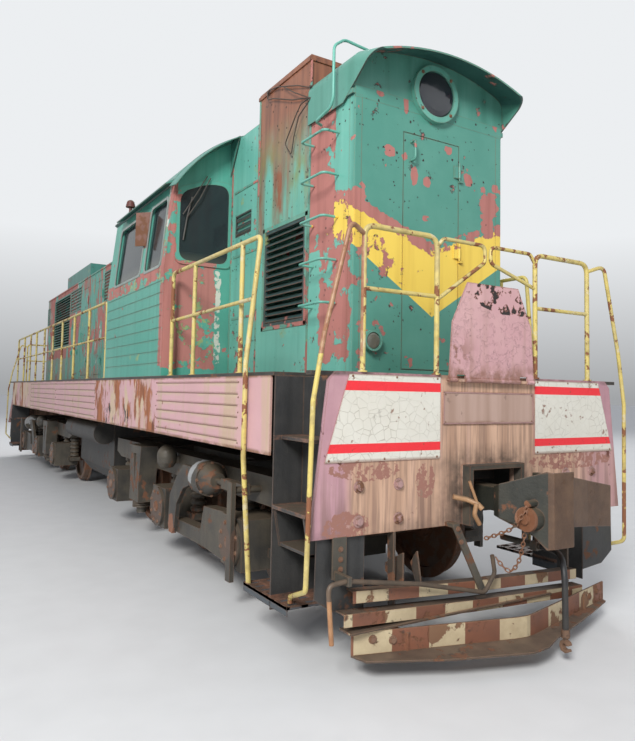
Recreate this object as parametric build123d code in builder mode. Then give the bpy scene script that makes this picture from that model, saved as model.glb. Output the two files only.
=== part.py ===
from build123d import *
from math import acos, asin, cos, degrees, radians, sin, sqrt
import os

os.makedirs("parts", exist_ok=True)

# Six-axle diesel-electric shunting locomotive: two three-axle bogies, a long engine hood, a cab set
# towards one end and a tall resistor tower on the short hood. All lengths are in millimetres.
# X runs along the track with the tower end at +X, +Z is up, and the wheel flanges stand on Z = 0.

# Running gear
flange_depth = 28.0          # flange below the tread; the rail head is this far above Z = 0
tread_r = 525.0
back_to_back = 1440.0        # between the inner faces of the two wheels
rim_w = 135.0
axle_r = 90.0
axle_spacing = 2000.0
bogie_centres = 8660.0
yaw_clear = 0.3              # running gap between the pivot plates

# Main frame
frame_len = 16000.0          # over the two end plates
frame_w = 3150.0
deck_above_axle = 1441.0
deck_t = 28.0
sill_h = 546.0
sill_w = 300.0
sill_y = 470.0               # middle of each centre sill from the centre line
end_plate_t = 30.0
coupled_len = 17220.0        # over the coupler faces
coupler_above_rail = 1060.0

# Hoods and cab
cab_x0 = 2450.0
cab_x1 = 4870.0
cab_wall = 60.0
cab_roof_r = 1830.0
cab_crown = 2894.0           # roof crown above the deck
cab_roof_t = 40.0
hood_x0 = -7200.0
hood_half_w = 850.0
hood_side_h = 2134.0
hood_crown = 2434.0
hood_wall = 40.0
tower_x1 = 7320.0
tower_half_w = 830.0
tower_wall = 40.0
nose_side_h = 2290.0         # where the nose wall meets its arched roof, above the deck
nose_crown = 2700.0
stack_x0 = 5550.0
stack_x1 = 6600.0
stack_top = 2930.0
neck_top = 2640.0

# Fits
seat = 0.3                   # gap of pieces that rest on a curved or moving seat
door_gap = 6.0
hinge_pin_r = 7.0
hinge_bore_gap = 0.05
hinge_off = 16.0             # hinge axis from the face of its wall
knuckle_r = 12.0
tube_r = 20.0                # railing tube
tube_bend = 90.0

rail_z = flange_depth
axle_z = tread_r + flange_depth
deck_z = axle_z + deck_above_axle
frame_x = frame_len / 2
side_y = frame_w / 2
bogie_x = bogie_centres / 2
coupler_z = rail_z + coupler_above_rail
sill_z0 = deck_z - deck_t - sill_h
sill_z1 = deck_z - deck_t


def block(x0, x1, y0, y1, z0, z1, mode=Mode.ADD):
    """Square-edged plate or bar between two corners."""
    with Locations(((x0 + x1) / 2, (y0 + y1) / 2, (z0 + z1) / 2)):
        Box(abs(x1 - x0), abs(y1 - y0), abs(z1 - z0), mode=mode)


def rod(x, y, z0, z1, radius, mode=Mode.ADD):
    """Upright round bar."""
    with Locations((x, y, (z0 + z1) / 2)):
        Cylinder(radius, abs(z1 - z0), mode=mode)


def rod_x(x0, x1, y, z, radius, mode=Mode.ADD):
    """Round bar along the track."""
    with Locations(Location(((x0 + x1) / 2, y, z), (0, 90, 0))):
        Cylinder(radius, abs(x1 - x0), mode=mode)


def rod_y(x, y0, y1, z, radius, mode=Mode.ADD):
    """Round bar across the track."""
    with Locations(Location((x, (y0 + y1) / 2, z), (90, 0, 0))):
        Cylinder(radius, abs(y1 - y0), mode=mode)


def bent_tube(points, radius, bend):
    """Tube along straight runs with equal bends between them."""
    with BuildLine(Plane.XY) as route:
        FilletPolyline(*points, radius=bend)
    with BuildSketch(Plane(route.line ^ 0)) as section:
        Circle(radius)
    sweep(section.sketch, path=route.wire())


def straight_tube(start, end, radius):
    """Straight round tube between two points."""
    with BuildLine(Plane.XY) as route:
        Line(start, end)
    with BuildSketch(Plane(route.line ^ 0)) as section:
        Circle(radius)
    sweep(section.sketch, path=route.wire())


def prism_x(points, x0, x1, mode=Mode.ADD):
    """Outline of (y, z) points carried along the track from x0 to x1."""
    with BuildSketch(Plane.YZ.offset(x0)) as outline:
        Polygon(*points, align=None)
    extrude(outline.sketch, amount=x1 - x0, mode=mode)


def prism_y(points, y0, y1, mode=Mode.ADD):
    """Outline of (x, z) points carried across the track from y0 to y1."""
    with BuildSketch(Plane.XZ.offset(-y0)) as outline:
        Polygon(*points, align=None)
    extrude(outline.sketch, amount=-(y1 - y0), mode=mode)


def prism_z(points, z0, z1, mode=Mode.ADD):
    """Outline of (x, y) points carried up from z0 to z1."""
    with BuildSketch(Plane.XY.offset(z0)) as outline:
        Polygon(*points, align=None)
    extrude(outline.sketch, amount=z1 - z0, mode=mode)


def write(piece, label):
    """Name a finished piece and store it."""
    piece.label = label
    export_step(piece, f"parts/{label}.step")


def write_both_ends(piece, stem):
    """Store a piece for the tower end and, turned half round, for the long-hood end."""
    turned = Rot(0, 0, 180) * piece
    write(piece, f"{stem}_front")
    write(turned, f"{stem}_rear")


# Wheelsets: axle, two disc wheels with coned hubs and flanged rims, turned from one profile.
hub_r = 150.0
web_t = 34.0
rim_t = 75.0
journal_r = 70.0
journal_end = 1330.0
wheel_in = back_to_back / 2
wheel_out = wheel_in + rim_w
flange_w = 33.0
web_y = wheel_in + 0.45 * rim_w

with BuildPart() as wheelset:
    with BuildSketch(Plane.XY):
        with BuildLine():
            Polyline(
                (0, 0), (axle_r, 0), (axle_r, wheel_in - 20), (hub_r, wheel_in - 10), (hub_r, web_y - web_t / 2),
                (tread_r - rim_t, web_y - web_t / 2), (tread_r - rim_t, wheel_in),
                (tread_r + flange_depth - 8, wheel_in), (tread_r + flange_depth, wheel_in + 10),
                (tread_r + flange_depth - 6, wheel_in + 22), (tread_r + 2, wheel_in + flange_w),
                (tread_r - 3, wheel_out - 12), (tread_r - 15, wheel_out), (tread_r - rim_t, wheel_out),
                (tread_r - rim_t, web_y + web_t / 2), (hub_r, web_y + web_t / 2), (hub_r, wheel_out + 15),
                (journal_r + 25, wheel_out + 15), (journal_r + 25, wheel_out + 45), (journal_r, wheel_out + 45),
                (journal_r, journal_end), (0, journal_end), close=True)
        make_face()
    revolve(axis=Axis.Y)
    mirror(about=Plane.XZ)

for number, middle in enumerate((bogie_x, -bogie_x)):
    for place in (1, 0, -1):
        axle_number = 2 + 3 * number - place
        placed = Pos(middle + place * axle_spacing, 0, axle_z) * wheelset.part
        write(placed, f"wheelset_{axle_number}")


# Bogie frame: two side beams with end and cross members, the pivot plate, horn legs beside the
# axle boxes, swan-neck links to the outer boxes, brake cylinders and the inner support columns.
beam_y0 = 905.0
beam_y1 = 1165.0
beam_z0 = axle_z + 330.0
beam_z1 = beam_z0 + 250.0
bogie_end = 2640.0
centre_half_w = 640.0        # centre plate between the middle wheels
pivot_plate_r = 360.0
pivot_plate_z = sill_z0 - 210.0
box_half = 215.0             # axle box from its middle, along and up
box_y0 = 945.0
box_y1 = 1375.0
cover_r = 210.0
cover_t = 30.0
bore_gap = 8.0
arm_pin_dx = 1530.0          # pin of the box's guide arm from the axle
arm_pin_dz = -125.0
arm_pin_r = 45.0
arm_y0 = 1215.0
arm_y1 = 1345.0
link_t = 45.0
lever_y0 = box_y1 + cover_t + 8.0
lever_t = 40.0

with BuildPart() as bogie_frame:
    for side in (-1, 1):
        with BuildSketch(Plane.XZ.offset(-side * beam_y0)):
            with BuildLine():
                Polyline(
                    (-bogie_end, beam_z0 + 60), (-bogie_end, beam_z1), (bogie_end, beam_z1),
                    (bogie_end, beam_z0 + 60), (bogie_end - 220, beam_z0), (-bogie_end + 220, beam_z0), close=True)
            make_face()
        extrude(amount=-side * (beam_y1 - beam_y0))
    for cross_x in (-bogie_end + 90, -1000.0, 1000.0, bogie_end - 90):
        block(cross_x - 90, cross_x + 90, -beam_y0, beam_y0, beam_z1 - 190, beam_z1)
    block(-1000, 1000, -centre_half_w, centre_half_w, beam_z1 - 190, beam_z1)
    rod(0, 0, beam_z1, pivot_plate_z - yaw_clear, pivot_plate_r)
    for side in (-1, 1):
        # Support column over the inner axle gap: cast legs, a foot and a stack of rubber discs.
        column_x = -980.0
        y_in = side * beam_y1
        y_out = side * (beam_y1 + 215)
        low, high = sorted((y_in, y_out))
        prism_y(
            [(column_x - 250, beam_z1 + 20), (column_x + 250, beam_z1 + 20), (column_x + 190, axle_z + 130),
             (column_x + 200, axle_z - 80), (column_x - 200, axle_z - 80), (column_x - 170, axle_z + 130)],
            low, high)
        prism_y(
            [(column_x - 70, beam_z1 - 80), (column_x + 60, beam_z1 - 80), (column_x + 20, axle_z + 150)],
            low - 1, high + 1, mode=Mode.SUBTRACT)
        for disc in range(3):
            rod(column_x, side * (beam_y1 + 110), axle_z - 80 - 26 * (disc + 1), axle_z - 80 - 26 * disc - 6, 110)
        rod(column_x, side * (beam_y1 + 110), axle_z - 230, axle_z - 80, 60)
        # Brake cylinder on the outer half, with its mounting plate on the beam.
        cylinder_x = 1270.0
        cylinder_y = side * 1310.0
        cylinder_z = axle_z + 455.0
        with Locations(Location((cylinder_x, cylinder_y, cylinder_z), (0, 90, 0))):
            Cylinder(165, 210)
        with Locations(Location((cylinder_x + 175, cylinder_y, cylinder_z), (0, 90, 0))):
            Cone(150, 75, 140)
        rod_x(cylinder_x + 240, cylinder_x + 420, cylinder_y, cylinder_z, 26)
        y_low, y_high = sorted((side * beam_y1, side * 1310.0))
        block(cylinder_x - 60, cylinder_x + 60, y_low, y_high, beam_z0 + 20, beam_z1)
        # Fork and hanging lever of the brake rigging, held by a hanger from the beam.
        lever_x = 2110.0
        fork_low, fork_high = sorted((side * 1275.0, side * 1345.0))
        block(cylinder_x + 400, lever_x + 35, fork_low, fork_high, cylinder_z - 45, cylinder_z + 45)
        prism_y(
            [(lever_x - 45, cylinder_z + 70), (lever_x + 45, cylinder_z + 70), (lever_x + 45, axle_z - 300),
             (lever_x - 45, axle_z - 300)], *sorted((side * lever_y0, side * (lever_y0 + lever_t))))
        rod_y(lever_x, *sorted((side * beam_y1, side * (lever_y0 + lever_t))), cylinder_z, 30)
        # Swan-neck link from the beam down to the guide arm's pin.
        link_pin_x = axle_spacing - arm_pin_dx
        link_pin_z = axle_z + arm_pin_dz
        with BuildSketch(Plane.XZ.offset(-side * arm_y1)):
            with BuildLine():
                Polyline(
                    (link_pin_x + 560, beam_z1 - 40), (link_pin_x + 560, beam_z0 + 40), (link_pin_x + 330, beam_z0 - 30),
                    (link_pin_x + 150, axle_z + 120), (link_pin_x + 95, link_pin_z), (link_pin_x + 40, link_pin_z - 80),
                    (link_pin_x - 60, link_pin_z - 75), (link_pin_x - 95, link_pin_z), (link_pin_x - 60, axle_z + 190),
                    (link_pin_x + 120, beam_z0 + 60), (link_pin_x + 330, beam_z1 - 40), close=True)
            make_face()
        extrude(amount=-side * link_t)
        rod_y(link_pin_x, *sorted((side * (arm_y0 + 5), side * (arm_y1 + link_t))), link_pin_z, arm_pin_r)
        y_low, y_high = sorted((side * beam_y1, side * (arm_y1 + link_t)))
        block(link_pin_x + 380, link_pin_x + 540, y_low, y_high, beam_z0 + 60, beam_z1 - 60)

# Axle boxes: castings with a bore for the journal, a round cover, spring wings and the springs; the
# outer boxes carry a guide arm that ends at the swan-neck's pin.
spring_dx = 330.0
spring_r = 85.0
spring_turns = 5
wing_z0 = axle_z - 110.0
wing_z1 = axle_z - 40.0

with BuildPart() as axle_boxes:
    for side in (-1, 1):
        y_low, y_high = sorted((side * box_y0, side * box_y1))
        for place in (1, 0, -1):
            x = place * axle_spacing
            block(x - box_half, x + box_half, y_low, y_high, axle_z - box_half, axle_z + box_half)
            block(x - spring_dx - spring_r - 10, x + spring_dx + spring_r + 10, side * 945, side * 1125,
                  wing_z0, wing_z1)
            rod_y(x, *sorted((side * (box_y1 - 5), side * (box_y1 + cover_t))), axle_z, cover_r)
            for end in (-1, 1):
                spring_x = x + end * spring_dx
                turn_h = (beam_z0 - seat - wing_z1) / spring_turns
                with BuildSketch(Plane(origin=(spring_x, side * 1035, wing_z1), x_dir=(1, 0, 0), z_dir=(0, -1, 0))):
                    with BuildLine():
                        outline = [(0, 0)]
                        for turn in range(spring_turns):
                            outline += [(spring_r - 22, turn * turn_h), (spring_r, (turn + 0.3) * turn_h),
                                        (spring_r, (turn + 0.7) * turn_h)]
                        outline += [(spring_r - 22, spring_turns * turn_h), (0, spring_turns * turn_h)]
                        Polyline(*outline, close=True)
                    make_face()
                revolve(axis=Axis((spring_x, side * 1035, 0), (0, 0, 1)))
        arm_pin_x = axle_spacing - arm_pin_dx
        arm_pin_z = axle_z + arm_pin_dz
        prism_y(
            [(axle_spacing - box_half + 10, axle_z + box_half), (axle_spacing - 730, axle_z + 190),
             (axle_spacing - 800, axle_z - 40), (arm_pin_x - 60, arm_pin_z + 65), (arm_pin_x - 60, arm_pin_z - 65),
             (axle_spacing - 700, axle_z - 190), (axle_spacing - box_half + 10, axle_z - box_half)],
            *sorted((side * arm_y0, side * arm_y1)))
        rod_y(arm_pin_x, *sorted((side * (arm_y0 - 10), side * (arm_y1 + 10))), arm_pin_z,
              arm_pin_r + hinge_bore_gap, mode=Mode.SUBTRACT)
        for place in (1, 0, -1):
            rod_y(place * axle_spacing, *sorted((side * (box_y0 - 5), side * (journal_end + 12))), axle_z,
                  journal_r + hinge_bore_gap, mode=Mode.SUBTRACT)

# Traction motors: a ribbed barrel beside each axle, hung by a nose from the cross members.
motor_r = 370.0
motor_half_w = 600.0
motor_places = ((axle_spacing - 620, 1000.0), (-620.0, -1000.0), (-axle_spacing + 620, -1000.0))

with BuildPart() as motors:
    for motor_x, hanger_x in motor_places:
        rod_y(motor_x, -motor_half_w, motor_half_w, axle_z, motor_r)
        with Locations((motor_x, 0, axle_z)):
            Box(2 * motor_r - 60, 2 * motor_half_w - 200, 2 * motor_r - 30)
        reach = hanger_x + (60 if motor_x > hanger_x else -60)
        block(min(reach, motor_x), max(reach, motor_x), -160, 160, axle_z + motor_r - 60, beam_z1 - 190)

for node, piece in (("bogie_frame", bogie_frame), ("axle_boxes", axle_boxes), ("traction_motors", motors)):
    write(Pos(bogie_x, 0, 0) * piece.part, f"{node}_front")
    write(Pos(-bogie_x, 0, 0) * Rot(0, 0, 180) * piece.part, f"{node}_rear")


# Automatic coupler: shank, head with its large and small teeth in plan, and the side horn. The plan
# is the usual one for this gauge; its contact face sits half a coupled length from the middle.
coupler_face = coupled_len / 2
shank_half_w = 65.0
shank_half_h = 90.0
shank_x0 = 7450.0
head_half_h = 150.0
coupler_pin_x = 7600.0
coupler_pin_r = 45.0

with BuildPart() as coupler:
    block(shank_x0, coupler_face - 330, -shank_half_w, shank_half_w, coupler_z - shank_half_h, coupler_z + shank_half_h)
    with BuildSketch(Plane.XY.offset(coupler_z - head_half_h)):
        with BuildLine():
            Polyline(
                (coupler_face - 400, -80), (coupler_face - 400, 80), (coupler_face - 330, 215),
                (coupler_face - 60, 260), (coupler_face, 235), (coupler_face, 150), (coupler_face - 120, 105),
                (coupler_face - 190, 60), (coupler_face - 190, -20), (coupler_face - 110, -60),
                (coupler_face - 75, -150), (coupler_face - 90, -215), (coupler_face - 200, -235),
                (coupler_face - 330, -200), close=True)
        make_face()
    extrude(amount=2 * head_half_h)
    rod(coupler_pin_x, 0, coupler_z - shank_half_h - 5, coupler_z + shank_half_h + 5,
        coupler_pin_r + hinge_bore_gap, mode=Mode.SUBTRACT)
write_both_ends(coupler.part, "coupler")


# Underframe: centre sills, bolsters with pivot plates, cross members and the deck with step wells.
well_x0 = 7440.0
well_x1 = 7900.0
well_y = 1130.0
side_sill_t = 14.0
plate_x = frame_x - end_plate_t

with BuildPart() as underframe:
    block(-plate_x, plate_x, -side_y, side_y, deck_z - deck_t, deck_z)
    for side in (-1, 1):
        middle = side * sill_y
        prism_x(
            [(middle - sill_w / 2, sill_z0), (middle + sill_w / 2, sill_z0), (middle + sill_w / 2, sill_z0 + 30),
             (middle + 15, sill_z0 + 50), (middle + 15, sill_z1), (middle - 15, sill_z1),
             (middle - 15, sill_z0 + 50), (middle - sill_w / 2, sill_z0 + 30)],
            -plate_x, plate_x)
    for cross_x in (-6900.0, -5400.0, -3200.0, -1600.0, 0.0, 1600.0, 3200.0, 5400.0, 6900.0):
        block(cross_x - 10, cross_x + 10, -side_y + 40, side_y - 40, sill_z0 + 60, sill_z1)
    for middle in (-bogie_x, bogie_x):
        block(middle - 330, middle + 330, -side_y + 60, side_y - 60, sill_z0, sill_z1)
        rod(middle, 0, pivot_plate_z, sill_z0, pivot_plate_r)
    for end in (-1, 1):
        for side in (-1, 1):
            block(*sorted((end * well_x0, end * well_x1)), *sorted((side * well_y, side * (side_y + 5))),
                  deck_z - deck_t - 5, deck_z + 5, mode=Mode.SUBTRACT)
    # Draft pockets behind the end plates, between the sills, each with its coupler's pin.
    pocket_y = sill_y - sill_w / 2
    for end in (-1, 1):
        for side in (-1, 1):
            block(*sorted((end * (shank_x0 - 150), end * plate_x)), *sorted((side * (pocket_y - 30), side * pocket_y)),
                  coupler_z - 160, sill_z0 + 30)
        pocket_x = sorted((end * (shank_x0 - 150), end * (coupler_pin_x + 160)))
        block(*pocket_x, -pocket_y, pocket_y, coupler_z - 160, coupler_z - shank_half_h - 6)
        block(*pocket_x, -pocket_y, pocket_y, coupler_z + shank_half_h + 6, coupler_z + 160)
        rod(end * coupler_pin_x, 0, coupler_z - 160, coupler_z + 160, coupler_pin_r)
write(underframe.part, "underframe")


# Skirts: pressed side sheets with horizontal ribs in three stretches and flat sheets between.
skirt_t = 15.0
skirt_z0 = rail_z + 1364.0
skirt_x0 = -7270.0
skirt_x1 = 7400.0
rib_h = 14.0
rib_rows = (0.12, 0.28, 0.44, 0.60, 0.76, 0.92)
ribbed_runs = ((4760.0, 6830.0), (-1140.0, 1930.0), (-4120.0, -1180.0))   # from, to along the track

for side, label in ((-1, "skirt_left"), (1, "skirt_right")):
    with BuildPart() as skirt:
        y_low, y_high = sorted((side * (side_y - skirt_t), side * side_y))
        block(skirt_x0, skirt_x1, y_low, y_high, skirt_z0, sill_z1)
        for run_x0, run_x1 in ribbed_runs:
            for row in rib_rows:
                rib_z = skirt_z0 + row * (sill_z1 - skirt_z0)
                with BuildSketch(Plane.YZ.offset(run_x0)):
                    with Locations((side * (side_y - 0.5), rib_z)):
                        Rectangle(8, rib_h)
                extrude(amount=run_x1 - run_x0, mode=Mode.SUBTRACT)
    write(skirt.part, label)


# Fuel tank between the bogies, with chamfered lower edges and an air reservoir along each side.
tank_half_len = 1180.0
tank_half_w = 1080.0
tank_z0 = rail_z + 330.0
reservoir_r = 170.0

with BuildPart() as fuel_tank:
    prism_x(
        [(-tank_half_w, sill_z0), (tank_half_w, sill_z0), (tank_half_w, tank_z0 + 220), (tank_half_w - 200, tank_z0),
         (-tank_half_w + 200, tank_z0), (-tank_half_w, tank_z0 + 220)],
        -tank_half_len, tank_half_len)
    for side in (-1, 1):
        rod_x(-tank_half_len + 60, tank_half_len - 60, side * (tank_half_w + reservoir_r - 30),
              sill_z0 - 260, reservoir_r)
write(fuel_tank.part, "fuel_tank")


# Gangway plate at each end: a hinged plate that stands up against the rails and folds down flat.
gang_x = frame_x + 34.0
gang_z = deck_z - 34.0
gang_t = 10.0
gang_half = 450.0
gang_shoulder_z = rail_z + 2362.0
gang_top_z = rail_z + 2668.0
gang_top_half = 270.0
gang_ears = (-330.0, 330.0)

with BuildPart() as gangway:
    with BuildSketch(Plane.YZ.offset(gang_x - gang_t / 2)):
        with BuildLine():
            Polyline(
                (-gang_half, gang_z), (gang_half, gang_z), (gang_half - 30, gang_shoulder_z),
                (gang_top_half, gang_top_z), (-gang_top_half, gang_top_z), (-gang_half + 30, gang_shoulder_z), close=True)
        make_face()
    extrude(amount=gang_t)
    rod_y(gang_x, -gang_half, gang_half, gang_z, 17)
    for ear in gang_ears:
        block(gang_x - 20, gang_x + 20, ear - 40, ear + 40, gang_z - 20, gang_z + 40, mode=Mode.SUBTRACT)
    rod_y(gang_x, -gang_half - 5, gang_half + 5, gang_z, hinge_pin_r + hinge_bore_gap, mode=Mode.SUBTRACT)
write_both_ends(gangway.part, "gangway_plate")


# End beam: tapered end plate with the coupler window, the striker frame, raised warning panels and a
# bare number board, all on one weldment; the rear one is the same, turned round.
end_top_half = 1457.0
end_bottom_half = 1575.0
end_z0 = rail_z + 876.0
window_half = 250.0
window_z1 = coupler_z + 215.0
panel_in = 500.0
panel_out_top = 1297.0
panel_out_bottom = 1480.0
panel_z0 = rail_z + 1362.0
panel_z1 = rail_z + 1950.0
panel_t = 6.0
board_half = 475.0
board_z0 = rail_z + 1608.0
board_z1 = rail_z + 1845.0
board_t = 10.0

with BuildPart() as end_beam:
    prism_x(
        [(-end_bottom_half, end_z0), (end_bottom_half, end_z0), (end_top_half, deck_z - 60),
         (end_top_half - 60, deck_z), (-end_top_half + 60, deck_z), (-end_top_half, deck_z - 60)],
        plate_x, frame_x)
    block(plate_x - 5, frame_x + 5, -window_half, window_half, end_z0 - 5, window_z1, mode=Mode.SUBTRACT)
    for side in (-1, 1):
        prism_x(
            [(side * panel_in, panel_z0), (side * panel_out_bottom, panel_z0), (side * panel_out_top, panel_z1),
             (side * panel_in, panel_z1)], frame_x, frame_x + panel_t)
        block(frame_x, frame_x + 90, *sorted((side * window_half, side * (window_half + 35))), end_z0, window_z1 + 35)
    block(frame_x, frame_x + 90, -window_half - 35, window_half + 35, window_z1, window_z1 + 35)
    block(frame_x, frame_x + board_t, -board_half, board_half, board_z0, board_z1)
    # Hinge of the gangway plate: two ears and the pin through them.
    rod_y(gang_x, -gang_half - 20, gang_half + 20, gang_z, hinge_pin_r)
    for ear in gang_ears:
        block(frame_x - 1, gang_x + 12, ear - 30, ear + 30, gang_z - 12, gang_z + 12)
write_both_ends(end_beam.part, "end_beam")


# Corner steps: a well wall, a stringer and four treads at each corner of an end; the lowest tread is
# a wider grating with a deep edge.
tread_rows = (350.0, 770.0, 1180.0, 1590.0)    # above Z = 0
tread_t = 26.0
stringer_t = 12.0
step_out = 1560.0
low_tread_x0 = 6990.0        # the lowest tread reaches back under the side rail's foot

with BuildPart() as steps:
    for side in (-1, 1):
        y_low, y_high = sorted((side * well_y, side * step_out))
        block(well_x0 - stringer_t, well_x0, y_low, y_high, tread_rows[0] - 60, deck_z - deck_t)
        wall_low, wall_high = sorted((side * well_y, side * (well_y + stringer_t)))
        block(well_x0 - stringer_t, well_x1, wall_low, wall_high, tread_rows[0] - 60, deck_z - deck_t)
        for row, tread_z in enumerate(tread_rows):
            inset = 0 if row == 0 else 30 + 40 * row
            tread_x0 = low_tread_x0 if row == 0 else well_x0
            block(tread_x0, well_x1 - 8, *sorted((side * well_y, side * (step_out - inset))), tread_z, tread_z + tread_t)
        block(low_tread_x0, well_x1 - 8, *sorted((side * (step_out - 12), side * step_out)),
              tread_rows[0] - 60, tread_rows[0] + tread_t)
write_both_ends(steps.part, "steps")


# Rail guard: hangers from the end plate, two straight boards and the V-shaped plough plate.
hanger_half = 900.0
guard_x = frame_x + 100.0
plough_tip_x = frame_x + 480.0
plough_z0 = rail_z + 120.0
plough_z1 = rail_z + 275.0
plough_t = 16.0
board_rows = ((rail_z + 520.0, 1290.0), (rail_z + 395.0, 1370.0))   # underside, half length

with BuildPart() as guard:
    for side in (-1, 1):
        low, high = sorted((side * (hanger_half - 10), side * (hanger_half + 10)))
        prism_y(
            [(frame_x - 60, end_z0), (frame_x, end_z0), (frame_x + 130, rail_z + 560), (frame_x + 130, plough_z0 + 40),
             (frame_x + 60, plough_z0 + 40), (frame_x - 60, end_z0 - 120)], low, high)
    for board_z, board_half_len in board_rows:
        block(guard_x - 90, guard_x + 20, -board_half_len, board_half_len, board_z, board_z + 40)
    prism_z(
        [(frame_x + 40, -1270), (plough_tip_x, -160), (plough_tip_x, 160), (frame_x + 40, 1270),
         (frame_x + 40 - plough_t, 1270), (plough_tip_x - plough_t, 150), (plough_tip_x - plough_t, -150),
         (frame_x + 40 - plough_t, -1270)], plough_z0, plough_z1)
    prism_z(
        [(frame_x + 30, -1270), (plough_tip_x - 8, -155), (plough_tip_x - 8, 155), (frame_x + 30, 1270)],
        plough_z1 - plough_t, plough_z1)
write_both_ends(guard.part, "rail_guard")


# Railings: side rails on posts, end rails with a mid rail, gate loops beside the gangway and the long
# corner handrails that run down to the steps.
rail_top = 1075.0            # tube centre above the deck
rail_mid = 575.0
rail_y = 1500.0
foot_r = 34.0
foot_t = 10.0


def post(x, y, height):
    """Railing post standing on a round foot."""
    rod(x, y, deck_z, deck_z + height, tube_r)
    rod(x, y, deck_z, deck_z + foot_t, foot_r)


hood_posts = (2150.0, 1040.0, -80.0, -1160.0, -2120.0, -3110.0, -4170.0, -5050.0, -6040.0, -7140.0)
for side, label in ((-1, "railing_hood_left"), (1, "railing_hood_right")):
    with BuildPart() as railing:
        rail_points = [(hood_posts[0], side * rail_y, deck_z + 5), (hood_posts[0], side * rail_y, deck_z + rail_top),
                       (hood_posts[-1], side * rail_y, deck_z + rail_top), (hood_posts[-1], side * rail_y, deck_z + 5)]
        bent_tube(rail_points, tube_r, tube_bend)
        straight_tube((hood_posts[0], side * rail_y, deck_z + rail_mid),
                      (hood_posts[-1], side * rail_y, deck_z + rail_mid), tube_r - 4)
        for post_x in hood_posts[1:-1]:
            post(post_x, side * rail_y, rail_top)
        for post_x in (hood_posts[0], hood_posts[-1]):
            rod(post_x, side * rail_y, deck_z, deck_z + foot_t, foot_r)
    write(railing.part, label)

end_x = frame_x - 50.0
corner_x = frame_x + 45.0    # the corner handrail passes outside the end plate
foot_x = well_x1 - 30.0
tread_top = tread_rows[0] + tread_t
gate_in = 525.0
gate_out = 1180.0
short_posts = (4960.0, 5600.0, 6690.0)
hand_x = 7030.0

with BuildPart() as end_rails:
    for side in (-1, 1):
        bent_tube(
            [(end_x, side * gate_out, deck_z + 5), (end_x, side * gate_out, deck_z + rail_top - 30),
             (end_x, side * gate_in, deck_z + rail_top - 30), (end_x, side * gate_in, deck_z + 5)], tube_r, tube_bend)
        straight_tube((end_x, side * gate_out, deck_z + rail_mid), (end_x, side * gate_in, deck_z + rail_mid), tube_r - 4)
        for foot_y in (gate_out, gate_in):
            rod(end_x, side * foot_y, deck_z, deck_z + foot_t, foot_r)
        bent_tube(
            [(end_x, side * (gate_out - 5), deck_z + rail_top - 130), (corner_x, side * 1330, deck_z + rail_top - 60),
             (corner_x, side * 1525, deck_z + 240), (corner_x, side * 1600, deck_z - 200),
             (corner_x - 20, side * 1618, 600), (foot_x, side * 1535, 480), (foot_x, side * 1535, tread_top + seat)],
            tube_r - 3, 45)
write_both_ends(end_rails.part, "railing_end")

for side, label in ((-1, "railing_tower_left"), (1, "railing_tower_right")):
    with BuildPart() as railing:
        bent_tube(
            [(short_posts[0], side * rail_y, deck_z + 5), (short_posts[0], side * rail_y, deck_z + rail_top),
             (hand_x, side * rail_y, deck_z + rail_top), (hand_x, side * (side_y + 31), deck_z + 60),
             (hand_x, side * (side_y + 31), skirt_z0 - 40), (hand_x, side * 1535, tread_top + seat + 1.5)], tube_r, 60)
        straight_tube((short_posts[0], side * rail_y, deck_z + rail_mid),
                      (hand_x, side * (rail_y + 52), deck_z + rail_mid), tube_r - 4)
        for post_x in short_posts[1:]:
            post(post_x, side * rail_y, rail_top)
        rod(short_posts[0], side * rail_y, deck_z, deck_z + foot_t, foot_r)
    write(railing.part, label)


# Cab: one welded body with leaning upper sides, hollow, with its windows and doorways cut, under a
# separate arched roof. Lower side sheets carry pressed ribs.
waist_z = deck_z + 1160.0
cab_lean = 95.0              # the eaves are this much further in than the waist
eaves_y = side_y - cab_lean
roof_centre_z = deck_z + cab_crown - cab_roof_r
eaves_z = roof_centre_z + sqrt((cab_roof_r - cab_roof_t) ** 2 - eaves_y ** 2)
side_windows = ((2800.0, 3950.0), (4110.0, 4720.0))     # from, to along the track
side_window_z0 = deck_z + 1185.0
side_window_z1 = deck_z + 1955.0
end_window_y0 = 900.0
end_window_y1 = 1440.0
end_window_z0 = deck_z + 1230.0
end_window_z1 = deck_z + 1920.0
door_y0 = 900.0
door_y1 = 1440.0
door_top = 1900.0
cab_door_t = 40.0


cab_shells = ((0.0, Mode.ADD), (cab_wall, Mode.SUBTRACT))    # inset from the outer faces, how it is used

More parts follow.
